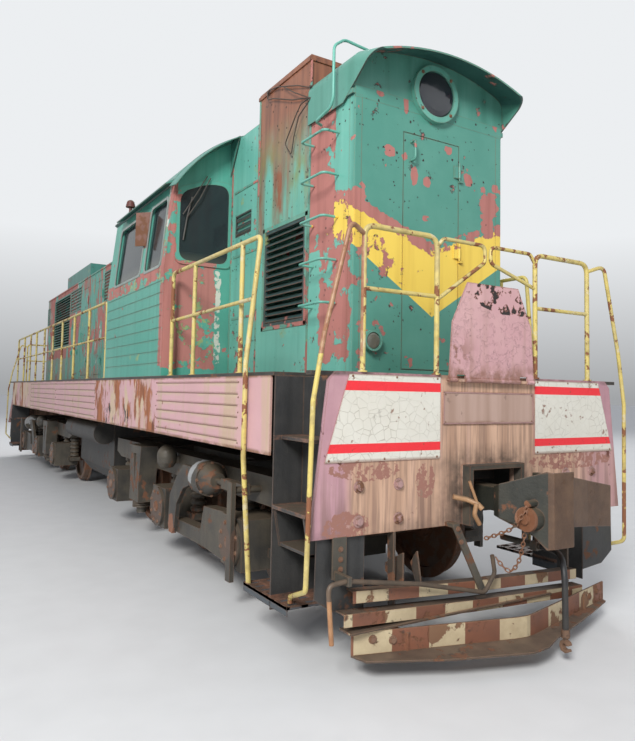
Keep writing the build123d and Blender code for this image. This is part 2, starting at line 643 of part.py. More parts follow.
with BuildPart() as cab_body:
    for inset, mode in cab_shells:
        radius = cab_roof_r - cab_roof_t - seat - inset
        waist = side_y - inset
        eaves = eaves_y - inset
        top = roof_centre_z + sqrt(radius ** 2 - eaves ** 2)
        with BuildSketch(Plane.YZ.offset(cab_x0 + inset)):
            with BuildLine():
                Line((-waist, deck_z), (waist, deck_z))
                Line((waist, deck_z), (waist, waist_z))
                Line((waist, waist_z), (eaves, top))
                ThreePointArc((eaves, top), (0, roof_centre_z + radius), (-eaves, top))
                Line((-eaves, top), (-waist, waist_z))
                Line((-waist, waist_z), (-waist, deck_z))
            make_face()
        extrude(amount=cab_x1 - cab_x0 - 2 * inset, mode=mode)
    for window_x0, window_x1 in side_windows:
        with BuildSketch(Plane.XZ.offset(side_y + 10)):
            with Locations(((window_x0 + window_x1) / 2, (side_window_z0 + side_window_z1) / 2)):
                RectangleRounded(window_x1 - window_x0, side_window_z1 - side_window_z0, 60)
        extrude(amount=-2 * side_y - 20, mode=Mode.SUBTRACT)
    # End windows on the corners beside the hoods; one corner at each end has a doorway instead.
    for end_x0, door_side in ((cab_x0 - 5, -1), (cab_x1 - cab_wall - 5, 1)):
        for side in (-1, 1):
            window_base = end_window_z0
            with BuildSketch(Plane.YZ.offset(end_x0)):
                if side == door_side:
                    with BuildLine():
                        Polyline(
                            (side * door_y0, deck_z + 20), (side * door_y1, deck_z + 20), (side * door_y1, deck_z + door_top),
                            (side * door_y0, deck_z + door_top), close=True)
                    make_face()
                else:
                    with BuildLine():
                        Polyline(
                            (side * end_window_y0, window_base), (side * end_window_y1, window_base),
                            (side * end_window_y1, end_window_z1 - 60), (side * (end_window_y1 - 330), end_window_z1 + 170),
                            (side * end_window_y0, end_window_z1 + 190), close=True)
                    make_face()
            extrude(amount=cab_wall + 10, mode=Mode.SUBTRACT)
    # Pressed ribs on the lower sides.
    for side in (-1, 1):
        for row in range(8):
            rib_z = deck_z + 130 + row * 125
            block(cab_x0 + 60, cab_x1 - 60, *sorted((side * (side_y - 5), side * (side_y + 5))), rib_z, rib_z + 14,
                  mode=Mode.SUBTRACT)
    # Hinge posts of the two cab doors.
    for hinge_x, hinge_side in ((cab_x0, -1), (cab_x1, 1)):
        into_cab = 1 if hinge_x == cab_x0 else -1
        pin_x = hinge_x + into_cab * (cab_wall + hinge_off)
        pin_y = hinge_side * (door_y1 + 4)
        rod(pin_x, pin_y, deck_z + 60, deck_z + door_top - 60, hinge_pin_r)
        for ear_z in (deck_z + 60, deck_z + door_top - 80):
            block(*sorted((hinge_x + into_cab * (cab_wall - 10), pin_x)), pin_y - 6, pin_y + 6, ear_z, ear_z + 20)
write(cab_body.part, "cab_body")

with BuildPart() as cab_roof:
    overhang = 40.0
    awning_x0 = 2850.0
    awning_x1 = 4850.0
    edge_angle = asin((eaves_y + 25) / cab_roof_r)
    inner_r = cab_roof_r - cab_roof_t
    with BuildSketch(Plane.YZ.offset(cab_x0 - overhang)):
        with BuildLine():
            ThreePointArc(
                (cab_roof_r * sin(edge_angle), roof_centre_z + cab_roof_r * cos(edge_angle)), (0, roof_centre_z + cab_roof_r),
                (-cab_roof_r * sin(edge_angle), roof_centre_z + cab_roof_r * cos(edge_angle)))
            Line((-cab_roof_r * sin(edge_angle), roof_centre_z + cab_roof_r * cos(edge_angle)),
                 (-inner_r * sin(edge_angle), roof_centre_z + inner_r * cos(edge_angle)))
            ThreePointArc(
                (-inner_r * sin(edge_angle), roof_centre_z + inner_r * cos(edge_angle)), (0, roof_centre_z + inner_r),
                (inner_r * sin(edge_angle), roof_centre_z + inner_r * cos(edge_angle)))
            Line((inner_r * sin(edge_angle), roof_centre_z + inner_r * cos(edge_angle)),
                 (cab_roof_r * sin(edge_angle), roof_centre_z + cab_roof_r * cos(edge_angle)))
        make_face()
    extrude(amount=cab_x1 - cab_x0 + 2 * overhang)
    # Rain awning along each eave, over the side windows.
    eave_z = roof_centre_z + cab_roof_r * cos(edge_angle)
    for side in (-1, 1):
        prism_x(
            [(side * (eaves_y + 5), eave_z - 12), (side * (side_y + 12), eave_z - 62), (side * (side_y + 16), eave_z - 50),
             (side * (eaves_y + 18), eave_z + 8)], awning_x0, awning_x1)
write(cab_roof.part, "cab_roof")

# Glass: flat panes set in the middle of each window opening.
pane_t = 8.0
pane_gap = 0.3

lean = cab_lean / (eaves_z - waist_z)
pane_y0 = side_y - cab_wall / 2 - (side_window_z0 - waist_z) * lean
pane_y1 = side_y - cab_wall / 2 - (side_window_z1 - waist_z) * lean

with BuildPart() as pane_slabs:
    for side in (-1, 1):
        prism_x(
            [(side * pane_y0, side_window_z0), (side * pane_y1, side_window_z1), (side * (pane_y1 - pane_t), side_window_z1),
             (side * (pane_y0 - pane_t), side_window_z0)], side_windows[0][0], side_windows[-1][1])

with BuildPart() as cab_glass:
    for window_x0, window_x1 in side_windows:
        with BuildSketch(Plane.XZ.offset(side_y)):
            with Locations(((window_x0 + window_x1) / 2, (side_window_z0 + side_window_z1) / 2)):
                RectangleRounded(window_x1 - window_x0 - 2 * pane_gap, side_window_z1 - side_window_z0 - 2 * pane_gap, 60)
        extrude(amount=-2 * side_y)
    add(pane_slabs.part, mode=Mode.INTERSECT)
    for pane_x, door_side in ((cab_x0 + cab_wall / 2, -1), (cab_x1 - cab_wall / 2, 1)):
        side = -door_side
        prism_x(
            [(side * (end_window_y0 + pane_gap), end_window_z0 + pane_gap),
             (side * (end_window_y1 - pane_gap), end_window_z0 + pane_gap),
             (side * (end_window_y1 - pane_gap), end_window_z1 - 60 - pane_gap),
             (side * (end_window_y1 - 330), end_window_z1 + 170 - pane_gap),
             (side * (end_window_y0 + pane_gap), end_window_z1 + 190 - pane_gap)], pane_x - pane_t / 2, pane_x + pane_t / 2)
write(cab_glass.part, "cab_glass")

# Cab doors: one at each end, opening inwards on the outer edge, each with its own window frame.
for label, door_x, into_cab, side in (("cab_door_rear", cab_x0, 1, -1), ("cab_door_front", cab_x1, -1, 1)):
    with BuildPart() as cab_door:
        x_out = door_x + into_cab * (cab_wall - cab_door_t)
        x_in = door_x + into_cab * cab_wall
        y_edges = sorted((side * (door_y0 + door_gap), side * (door_y1 - door_gap)))
        x_edges = sorted((x_out, x_in))
        block(*x_edges, *y_edges, deck_z + 20 + door_gap, deck_z + door_top - door_gap)
        window_y = sorted((side * (door_y0 + 90), side * (door_y1 - 90)))
        block(x_edges[0] - 5, x_edges[1] + 5, *window_y, deck_z + 1150, deck_z + door_top - 130, mode=Mode.SUBTRACT)
        block((x_out + x_in) / 2 - 4, (x_out + x_in) / 2 + 4, window_y[0] - 2, window_y[1] + 2, deck_z + 1148,
              deck_z + door_top - 128)
        pin_x = door_x + into_cab * (cab_wall + hinge_off)
        pin_y = side * (door_y1 + 4)
        for knuckle_z in (deck_z + 300, deck_z + door_top - 500):
            rod(pin_x, pin_y, knuckle_z, knuckle_z + 120, knuckle_r)
            block(*sorted((x_in, pin_x)), *sorted((side * (door_y1 - 60), side * (door_y1 - door_gap))), knuckle_z,
                  knuckle_z + 120)
            rod(pin_x, pin_y, knuckle_z - 5, knuckle_z + 125, hinge_pin_r + hinge_bore_gap, mode=Mode.SUBTRACT)
        rod_x(*sorted((x_in - into_cab * 2, x_in + into_cab * 45)), side * (door_y0 + 50), deck_z + 1000, 10)
        block(*sorted((x_in + into_cab * 37, x_in + into_cab * 49)), side * (door_y0 + 50) - 8,
              side * (door_y0 + 50) + 8, deck_z + 940, deck_z + 1010)
    write(cab_door.part, label)

# Cab fittings seen through the windows: control desks with sloped tops and two seats on pedestals.
with BuildPart() as cab_desk:
    for end, side in ((1, 1), (1, -1)):
        prism_x(
            [(side * 200, deck_z), (side * 700, deck_z), (side * 700, deck_z + 900), (side * 450, deck_z + 1060),
             (side * 200, deck_z + 1060)], cab_x1 - cab_wall - 620, cab_x1 - cab_wall - 5)
write(cab_desk.part, "cab_desk")

seat_x = 3600.0
seat_y = 1130.0
with BuildPart() as cab_seats:
    for side in (-1, 1):
        rod(seat_x, side * seat_y, deck_z, deck_z + 380, 60)
        rod(seat_x, side * seat_y, deck_z, deck_z + 20, 170)
        block(seat_x - 230, seat_x + 230, side * seat_y - 220, side * seat_y + 220, deck_z + 380, deck_z + 470)
        block(seat_x - 270, seat_x - 190, side * seat_y - 210, side * seat_y + 210, deck_z + 460, deck_z + 950)
write(cab_seats.part, "cab_seats")


# Long hood: side walls and rounded end, with openings for the access doors and the radiator shutters.
hood_x1 = cab_x0
hood_top = deck_z + hood_side_h
end_round = 260.0
hood_doors = ((-2700.0, -2160.0), (-1500.0, -960.0))      # from, to along the track; hinge at the +X edge
door_z0 = deck_z + 120.0
door_z1 = deck_z + 1900.0
shutter_x0 = -6000.0
shutter_x1 = -4030.0
shutter_z0 = rail_z + 2760.0
shutter_z1 = rail_z + 3970.0
side_vents = ((-4000.0, -2860.0, 1500.0, 2010.0), (-7000.0, -6600.0, 1430.0, 1910.0),
              (-900.0, 250.0, 1430.0, 2010.0), (1200.0, 2200.0, 1560.0, 2010.0))   # x from, to; z above the deck
vent_depth = 22.0
fan_x = -4900.0
fan_r = 560.0
fan_hub_r = 130.0
fan_z = hood_top + 130.0
blade_count = 8
shaft_r = 40.0

with BuildPart() as hood_shell:
    with BuildSketch(Plane.XY.offset(deck_z)):
        with BuildLine():
            Polyline(
                (hood_x1, -hood_half_w), (hood_x1, hood_half_w), (hood_x0 + end_round, hood_half_w),
                (hood_x0, hood_half_w - end_round), (hood_x0, -hood_half_w + end_round),
                (hood_x0 + end_round, -hood_half_w), close=True)
        make_face()
    extrude(amount=hood_side_h)
    with BuildSketch(Plane.XY.offset(deck_z - 1)):
        with BuildLine():
            inner = hood_half_w - hood_wall
            Polyline(
                (hood_x1 + 1, -inner), (hood_x1 + 1, inner), (hood_x0 + end_round + 15, inner),
                (hood_x0 + hood_wall, inner - end_round + 25), (hood_x0 + hood_wall, -inner + end_round - 25),
                (hood_x0 + end_round + 15, -inner), close=True)
        make_face()
    extrude(amount=hood_side_h + 2, mode=Mode.SUBTRACT)
    for side in (-1, 1):
        wall = sorted((side * (hood_half_w - hood_wall - 5), side * (hood_half_w + 5)))
        for door_x0, door_x1 in hood_doors:
            block(door_x0, door_x1, *wall, door_z0, door_z1, mode=Mode.SUBTRACT)
        block(shutter_x0, shutter_x1, *wall, shutter_z0, shutter_z1, mode=Mode.SUBTRACT)
        for vent_x0, vent_x1, vent_z0, vent_z1 in side_vents:
            face = sorted((side * (hood_half_w - vent_depth), side * (hood_half_w + 5)))
            block(vent_x0, vent_x1, *face, deck_z + vent_z0, deck_z + vent_z1, mode=Mode.SUBTRACT)
        # Hinge pins for the access doors.
        for door_x0, door_x1 in hood_doors:
            pin_x = door_x1 - door_gap / 2
            pin_y = side * (hood_half_w + hinge_off)
            for ear_z in (door_z0 + 200, door_z1 - 320):
                rod(pin_x, pin_y, ear_z - 20, ear_z + 140, hinge_pin_r)
                block(pin_x - 1, pin_x + 40, *sorted((side * hood_half_w, pin_y + side * 6)), ear_z - 35, ear_z - 15)
    # Bridge with the upright shaft that carries the radiator fan.
    rod(fan_x, 0, fan_z - 200, fan_z + 62, shaft_r)
    block(fan_x - 60, fan_x + 60, -hood_half_w + hood_wall - 1, hood_half_w - hood_wall + 1, fan_z - 250, fan_z - 180)
write(hood_shell.part, "hood_shell")

for number, (door_x0, door_x1) in enumerate(hood_doors, start=1):
    with BuildPart() as hood_door:
        block(door_x0 + door_gap, door_x1 - door_gap, -hood_half_w, -hood_half_w + hood_wall, door_z0 + door_gap,
              door_z1 - door_gap)
        pin_x = door_x1 - door_gap / 2
        pin_y = -hood_half_w - hinge_off
        for knuckle_z in (door_z0 + 200, door_z1 - 320):
            rod(pin_x, pin_y, knuckle_z, knuckle_z + 110, knuckle_r)
            block(door_x1 - 60, door_x1 - door_gap, pin_y, -hood_half_w, knuckle_z, knuckle_z + 110)
            rod(pin_x, pin_y, knuckle_z - 5, knuckle_z + 115, hinge_pin_r + hinge_bore_gap, mode=Mode.SUBTRACT)
        handle_x = door_x0 + 70
        for handle_z in (door_z0 + 700, door_z0 + 860):
            rod_y(handle_x, -hood_half_w - 40, -hood_half_w + 5, handle_z, 8)
        rod(handle_x, -hood_half_w - 40, door_z0 + 692, door_z0 + 868, 8)
    write(hood_door.part, f"hood_door_left_{number}")
    write(mirror(hood_door.part, about=Plane.XZ), f"hood_door_right_{number}")

# Hood roof: an arched sheet on the side walls, with the fan's opening and the exhaust stack.
hood_sag = hood_crown - hood_side_h
hood_roof_r = (hood_half_w ** 2 + hood_sag ** 2) / (2 * hood_sag)
hood_roof_t = 22.0
hatch_x0 = -5600.0
hatch_x1 = -3100.0
hatch_half_w = 640.0
hatch_top = rail_z + 4530.0
exhaust_x = -900.0

with BuildPart() as hood_roof:
    crown_z = deck_z + hood_crown
    roof_mid_z = crown_z - hood_roof_r
    inner_half = hood_half_w - hood_wall
    inner_r = hood_roof_r - hood_roof_t
    inner_z = roof_mid_z + sqrt(inner_r ** 2 - inner_half ** 2)
    with BuildSketch(Plane.YZ.offset(hood_x0)):
        with BuildLine():
            ThreePointArc((hood_half_w, hood_top), (0, crown_z), (-hood_half_w, hood_top))
            Line((-hood_half_w, hood_top), (-inner_half, hood_top))
            Line((-inner_half, hood_top), (-inner_half, inner_z))
            ThreePointArc((-inner_half, inner_z), (0, crown_z - hood_roof_t), (inner_half, inner_z))
            Line((inner_half, inner_z), (inner_half, hood_top))
            Line((inner_half, hood_top), (hood_half_w, hood_top))
        make_face()
    extrude(amount=hood_x1 - hood_x0)
    # Rounded corners at the free end, and the end's closing sheet.
    for side in (-1, 1):
        prism_z(
            [(hood_x0 - 5, side * (hood_half_w + 5)), (hood_x0 + end_round, side * (hood_half_w + 5)),
             (hood_x0 + end_round, side * hood_half_w), (hood_x0, side * (hood_half_w - end_round)),
             (hood_x0 - 5, side * (hood_half_w - end_round))], hood_top - 5, crown_z + 5, mode=Mode.SUBTRACT)
    with BuildSketch(Plane.YZ.offset(hood_x0)):
        with BuildLine():
            cut = hood_half_w - end_round
            cut_z = roof_mid_z + sqrt((hood_roof_r - 1) ** 2 - cut ** 2)
            Polyline((-cut, cut_z), (-cut, hood_top), (cut, hood_top), (cut, cut_z))
            ThreePointArc((cut, cut_z), (0, crown_z - 1), (-cut, cut_z))
        make_face()
    extrude(amount=hood_wall)
    rod(fan_x, 0, hood_top, crown_z + 20, fan_r, mode=Mode.SUBTRACT)
    rod(exhaust_x, 0, crown_z - 20, crown_z + 90, 150)
    rod(exhaust_x, 0, crown_z - 60, crown_z + 95, 125, mode=Mode.SUBTRACT)
write(hood_roof.part, "hood_roof")

# Raised roof hatch over the fan: a curb with transverse slats, open over the fan.
slat_pitch = 100.0
with BuildPart() as roof_hatch:
    curb_t = 40.0
    curb_base = roof_mid_z + sqrt((hood_roof_r + seat) ** 2 - hatch_half_w ** 2)
    for side in (-1, 1):
        block(hatch_x0, hatch_x1, *sorted((side * (hatch_half_w - curb_t), side * hatch_half_w)),
              roof_mid_z + sqrt((hood_roof_r + seat) ** 2 - (hatch_half_w - curb_t) ** 2), hatch_top)
    for end_x0 in (hatch_x0, hatch_x1 - curb_t):
        with BuildSketch(Plane.YZ.offset(end_x0)):
            with BuildLine():
                Polyline(
                    (-hatch_half_w, curb_base), (-hatch_half_w, hatch_top), (hatch_half_w, hatch_top),
                    (hatch_half_w, curb_base))
                ThreePointArc((hatch_half_w, curb_base), (0, roof_mid_z + hood_roof_r + seat), (-hatch_half_w, curb_base))
            make_face()
        extrude(amount=curb_t)
    slats = int((hatch_x1 - hatch_x0 - 2 * curb_t) / slat_pitch)
    for slat in range(slats):
        slat_x = hatch_x0 + curb_t + (slat + 0.5) * slat_pitch
        prism_y(
            [(slat_x - 30, hatch_top - 50), (slat_x - 24, hatch_top - 50), (slat_x + 34, hatch_top), (slat_x + 28, hatch_top)],
            -hatch_half_w + curb_t, hatch_half_w - curb_t)
write(roof_hatch.part, "roof_hatch")

# Radiator fan: hub and eight pitched blades on an upright shaft.
with BuildPart() as fan:
    rod(fan_x, 0, fan_z - 60, fan_z + 60, fan_hub_r)
    with Locations(Location((fan_x, 0, fan_z))):
        with PolarLocations(0, blade_count):
            with Locations(Location(((fan_hub_r + fan_r - 20) / 2 - 5, 0, 0), (28, 0, 0))):
                Box(fan_r - 20 - fan_hub_r + 20, 190, 8)
    rod(fan_x, 0, fan_z - 60, fan_z + 65, shaft_r + hinge_bore_gap, mode=Mode.SUBTRACT)
write(fan.part, "radiator_fan")

# Radiator shutters and vents: framed blades set in the side walls.
blade_pitch = 60.0


def louvre(x0, x1, z0, z1, side, wall_y, depth, frame_t):
    """Frame with tilted horizontal blades, set into a side wall."""
    outer = sorted((side * (wall_y - depth), side * wall_y))
    block(x0, x1, *outer, z0, z1)
    block(x0 + frame_t, x1 - frame_t, outer[0] - 5, outer[1] + 5, z0 + frame_t, z1 - frame_t, mode=Mode.SUBTRACT)
    rows = int((z1 - z0 - 2 * frame_t) / blade_pitch)
    step = (z1 - z0 - 2 * frame_t) / rows
    for row in range(rows):
        base = z0 + frame_t + row * step
        prism_x(
            [(side * (wall_y - depth), base + step * 0.62), (side * (wall_y - depth), base + step * 0.78),
             (side * wall_y, base + step * 0.26), (side * wall_y, base + step * 0.1)],
            x0 + frame_t - 1, x1 - frame_t + 1)


with BuildPart() as shutters:
    for side in (-1, 1):
        louvre(shutter_x0, shutter_x1, shutter_z0, shutter_z1, side, hood_half_w, hood_wall, 30)
write(shutters.part, "radiator_shutters")

with BuildPart() as vents:
    for side in (-1, 1):
        for vent_x0, vent_x1, vent_z0, vent_z1 in side_vents:
            louvre(vent_x0, vent_x1, deck_z + vent_z0, deck_z + vent_z1, side, hood_half_w, vent_depth, 20)
write(vents.part, "hood_vents")

# Engine and generator: one plain block on the deck.
with BuildPart() as engine:
    block(-2850.0, 1500.0, -520.0, 520.0, deck_z, deck_z + 1550)
write(engine.part, "engine_block")

# Roof walkway rail: one tube on short posts along the engine roof.
with BuildPart() as roof_rail:
    bent_tube(
        [(-2900, 300, crown_z - 40), (-2900, 300, rail_z + 4580), (0, 300, rail_z + 4580), (0, 300, crown_z - 40)], 14, 50)
    trim_r = hood_roof_r + seat
    with Locations(Location(((hood_x0 + hood_x1) / 2, 0, roof_mid_z), (0, 90, 0))):
        Cylinder(trim_r, hood_x1 - hood_x0, mode=Mode.SUBTRACT)
    for post_x in (-2000.0, -1000.0):
        rod(post_x, 300, roof_mid_z + sqrt(trim_r ** 2 - 300 ** 2) + 4, rail_z + 4580, 12)
write(roof_rail.part, "roof_handrail")


# Tower: resistor housing on the short hood. A nose with an arched roof and visor, a taller square
# stack behind it and a lower neck to the cab, with one access door in the nose's front.
nose_x0 = stack_x1
front_door_y0 = -330.0
front_door_y1 = 300.0
front_door_z0 = deck_z + 60.0
front_door_z1 = rail_z + 4050.0
grille_x0 = 5740.0
grille_x1 = 6550.0
grille_z0 = rail_z + 2460.0
grille_z1 = rail_z + 3410.0
small_vent = (5000.0, 5400.0, 3500.0, 3740.0)      # x from, to; z from, to above the rail
corner_cut = 70.0
iron_x0 = 6700.0
iron_x1 = 7090.0
iron_rows = (2560.0, 2920.0, 3280.0, 3640.0, 4000.0)     # above the rail
iron_r = 11.0

with BuildPart() as tower_shell:
    with BuildSketch(Plane.XZ.offset(-tower_half_w)):
        with BuildLine():
            Polyline(
                (cab_x1, deck_z), (tower_x1, deck_z), (tower_x1, deck_z + nose_side_h), (nose_x0, deck_z + nose_side_h),
                (nose_x0, deck_z + stack_top), (stack_x0, deck_z + stack_top), (stack_x0, deck_z + neck_top),
                (cab_x1, deck_z + neck_top), close=True)
        make_face()
    extrude(amount=2 * tower_half_w)
    chamfer(tower_shell.edges().filter_by(Axis.Z).group_by(Axis.X)[-1], corner_cut)
    with BuildSketch(Plane.XZ.offset(-tower_half_w + tower_wall)):
        with BuildLine():
            Polyline(
                (cab_x1 + tower_wall, deck_z - 1), (tower_x1 - tower_wall, deck_z - 1),
                (tower_x1 - tower_wall, deck_z + nose_side_h + 1), (nose_x0 - tower_wall, deck_z + nose_side_h + 1),
                (nose_x0 - tower_wall, deck_z + stack_top - tower_wall), (stack_x0 + tower_wall, deck_z + stack_top - tower_wall),
                (stack_x0 + tower_wall, deck_z + neck_top - tower_wall), (cab_x1 + tower_wall, deck_z + neck_top - tower_wall),
                close=True)
        make_face()
    extrude(amount=2 * (tower_half_w - tower_wall), mode=Mode.SUBTRACT)
    block(tower_x1 - tower_wall - 5, tower_x1 + 5, front_door_y0, front_door_y1, front_door_z0, front_door_z1,
          mode=Mode.SUBTRACT)
    for side in (-1, 1):
        face = sorted((side * (tower_half_w - tower_wall - 5), side * (tower_half_w + 5)))
        block(grille_x0, grille_x1, *face, grille_z0, grille_z1, mode=Mode.SUBTRACT)
        face = sorted((side * (tower_half_w - vent_depth), side * (tower_half_w + 5)))
        block(small_vent[0], small_vent[1], *face, rail_z + small_vent[2], rail_z + small_vent[3], mode=Mode.SUBTRACT)
    pin_x = tower_x1 + hinge_off
    pin_y = front_door_y1 - door_gap / 2
    for ear_z in (front_door_z0 + 200, front_door_z0 + 1000, front_door_z1 - 300):
        rod(pin_x, pin_y, ear_z - 20, ear_z + 140, hinge_pin_r)
        block(tower_x1, pin_x + 6, pin_y - 1, pin_y + 40, ear_z - 35, ear_z - 15)
    # Climbing irons on the left side of the nose.
    for row in iron_rows:
        bent_tube(
            [(iron_x0, -tower_half_w + 5, rail_z + row), (iron_x0, -tower_half_w - 150, rail_z + row),
             (iron_x1, -tower_half_w - 150, rail_z + row), (iron_x1, -tower_half_w + 5, rail_z + row)], iron_r, 40)
write(tower_shell.part, "tower_shell")

with BuildPart() as tower_door:
    block(tower_x1 - tower_wall, tower_x1, front_door_y0 + door_gap, front_door_y1 - door_gap,
          front_door_z0 + door_gap, front_door_z1 - door_gap)
    pin_x = tower_x1 + hinge_off
    pin_y = front_door_y1 - door_gap / 2
    for knuckle_z in (front_door_z0 + 200, front_door_z0 + 1000, front_door_z1 - 300):
        rod(pin_x, pin_y, knuckle_z, knuckle_z + 110, knuckle_r)
        block(tower_x1, pin_x, front_door_y1 - 60, front_door_y1 - door_gap, knuckle_z, knuckle_z + 110)
        rod(pin_x, pin_y, knuckle_z - 5, knuckle_z + 115, hinge_pin_r + hinge_bore_gap, mode=Mode.SUBTRACT)
    bent_tube(
        [(tower_x1 - 5, front_door_y0 + 85, front_door_z1 - 80), (tower_x1 + 60, front_door_y0 + 85, front_door_z1 - 80),
         (tower_x1 + 60, front_door_y0 + 85, front_door_z1 - 240), (tower_x1 - 5, front_door_y0 + 85, front_door_z1 - 240)],
        11, 25)
write(tower_door.part, "tower_door")

# Nose roof: a thin arched sheet with rounded shoulders that overhangs the front as a visor; its side
# wings are cut back along a slant.
visor_x1 = 7620.0
visor_t = 14.0
visor_half_w = tower_half_w + visor_t + 12
wing_z = rail_z + 4220.0
shoulder_z = rail_z + 4590.0
visor_crown_z = rail_z + 4760.0
visor_drop = 95.0            # the visor slopes down by this much at its edge
nose_z = deck_z + nose_side_h
shoulder_r = 130.0


# Arched outlines: x from, to; drop at the far end; inset from the outer surface; foot; how it is used.
# The last two are the sheets that close the arch above the nose's front and back walls.
visor_len = visor_x1 - tower_x1
arches = (
    (nose_x0, tower_x1, 0.0, 0.0, wing_z, Mode.ADD),
    (tower_x1, visor_x1, visor_drop, 0.0, wing_z, Mode.ADD),
    (nose_x0 - 1, tower_x1, 0.0, visor_t, wing_z - 1, Mode.SUBTRACT),
    (tower_x1, visor_x1 + visor_len, 2 * visor_drop, visor_t, wing_z - 1, Mode.SUBTRACT),
    (tower_x1 - tower_wall, tower_x1, 0.0, visor_t / 2, nose_z, Mode.ADD),
    (nose_x0, nose_x0 + tower_wall, 0.0, visor_t / 2, nose_z, Mode.ADD),
)

with BuildPart() as tower_roof:
    for arch_x0, arch_x1, drop, inset, foot_z, mode in arches:
        half_w = visor_half_w - inset
        shoulder = shoulder_z - inset
        with BuildSketch(Plane.YZ.offset(arch_x0)) as arch:
            with BuildLine():
                Line((-half_w, foot_z), (-half_w, shoulder))
                ThreePointArc((-half_w, shoulder), (0, visor_crown_z - inset), (half_w, shoulder))
                Line((half_w, shoulder), (half_w, foot_z))
                Line((half_w, foot_z), (-half_w, foot_z))
            make_face()
            fillet(arch.vertices().group_by(Axis.Y)[-1], shoulder_r - inset)
        run = sqrt((arch_x1 - arch_x0) ** 2 + drop ** 2)
        extrude(amount=run, dir=(arch_x1 - arch_x0, 0, -drop), mode=mode)
    prism_y(
        [(tower_x1 - 150, wing_z - 5), (visor_x1 + 5, shoulder_z - visor_drop + 30), (visor_x1 + 5, wing_z - visor_drop - 5),
         (tower_x1 - 150, wing_z - visor_drop - 5)],
        -visor_half_w - 5, visor_half_w + 5, mode=Mode.SUBTRACT)
    for side in (-1, 1):
        block(nose_x0, tower_x1, *sorted((side * (tower_half_w - tower_wall), side * (visor_half_w - 2))), nose_z,
              nose_z + 40)
write(tower_roof.part, "tower_roof")

with BuildPart() as tower_grilles:
    for side in (-1, 1):
        louvre(grille_x0, grille_x1, grille_z0, grille_z1, side, tower_half_w, tower_wall, 30)
        louvre(small_vent[0], small_vent[1], rail_z + small_vent[2], rail_z + small_vent[3], side, tower_half_w,
               vent_depth, 15)
write(tower_grilles.part, "tower_grilles")

# Lamps: round headlight in its ring and two marker lamps, at each end.
for label, face_x, out, light_z in (("lamps_front", tower_x1, 1, rail_z + 4440.0), ("lamps_rear", hood_x0, -1, rail_z + 4000.0)):
    with BuildPart() as lamps:
        for lamp_y, middle_z, ring_r, depth in ((0.0, light_z, 250.0, 45.0), (-650.0, rail_z + 2245.0, 85.0, 60.0),
                                                (650.0, rail_z + 2245.0, 85.0, 60.0)):
            if out < 0 and lamp_y:
                lamp_y = lamp_y * 0.85
            rod_x(*sorted((face_x, face_x + out * depth)), lamp_y, middle_z, ring_r)
            rod_x(*sorted((face_x + out * (depth - 18), face_x + out * (depth + 5))), lamp_y, middle_z, ring_r * 0.8,
                  mode=Mode.SUBTRACT)
    write(lamps.part, label)
print("built")
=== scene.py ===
import bmesh
import bpy
import math
from mathutils import Matrix, Vector


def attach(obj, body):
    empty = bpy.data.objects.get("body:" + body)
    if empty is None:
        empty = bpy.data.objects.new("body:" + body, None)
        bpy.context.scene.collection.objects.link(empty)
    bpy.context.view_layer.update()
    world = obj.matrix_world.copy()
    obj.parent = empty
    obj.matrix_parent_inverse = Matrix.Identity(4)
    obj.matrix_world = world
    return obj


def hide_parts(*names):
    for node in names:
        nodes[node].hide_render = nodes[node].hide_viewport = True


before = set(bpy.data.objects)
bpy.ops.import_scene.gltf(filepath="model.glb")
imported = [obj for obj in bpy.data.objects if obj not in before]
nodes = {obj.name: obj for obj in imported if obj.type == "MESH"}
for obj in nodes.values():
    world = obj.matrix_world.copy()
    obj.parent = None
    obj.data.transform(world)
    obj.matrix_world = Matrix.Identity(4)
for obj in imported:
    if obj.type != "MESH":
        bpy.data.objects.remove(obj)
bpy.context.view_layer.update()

# Camera: standing by the track at the tower end, at about head height, looking back along the
# left side. The turn is measured from -X and the tilt from the horizon.
camera_place = Vector((11.693, -3.766, 1.846))
camera_turn = -0.548
camera_tilt = 0.062
camera_roll = 0.019
focal_px = 665.5
image_w, image_h = 635, 741
centre_px = (322.2, 351.7)

look = Vector((-math.cos(camera_turn) * math.cos(camera_tilt),
               -math.sin(camera_turn) * math.cos(camera_tilt), math.sin(camera_tilt)))
level_right = Vector((-math.sin(camera_turn), math.cos(camera_turn), 0.0))
level_up = level_right.cross(look)
right = math.cos(camera_roll) * level_right + math.sin(camera_roll) * level_up
up = -math.sin(camera_roll) * level_right + math.cos(camera_roll) * level_up
camera_data = bpy.data.cameras.new("camera")
camera_data.sensor_width = 36.0
camera_data.lens = focal_px * camera_data.sensor_width / image_h
camera_data.shift_x = (image_w / 2 - centre_px[0]) / image_h
camera_data.shift_y = (centre_px[1] - image_h / 2) / image_h


def shown_object(name, data):
    """Object of the scene that shows some data."""
    made = bpy.data.objects.new(name, data)
    bpy.context.scene.collection.objects.link(made)
    return made


camera = shown_object("camera", camera_data)
camera.matrix_world = Matrix((
    (right.x, up.x, -look.x, camera_place.x),
    (right.y, up.y, -look.y, camera_place.y),
    (right.z, up.z, -look.z, camera_place.z),
    (0, 0, 0, 1)))
bpy.context.scene.camera = camera


# Brake hose: ribbed black rubber over wire, clamped on the pipe's cock. It leaves the cock level, drops
# beside the coupler under its own weight and ends in its cast hook head.
hose_points = ((8.1503, 0.400, 0.700), (8.235, 0.400, 0.700), (8.400, 0.305, 0.712), (8.520, 0.200, 0.660),
               (8.546, 0.181, 0.500), (8.546, 0.182, 0.225))
hose_d = 0.044


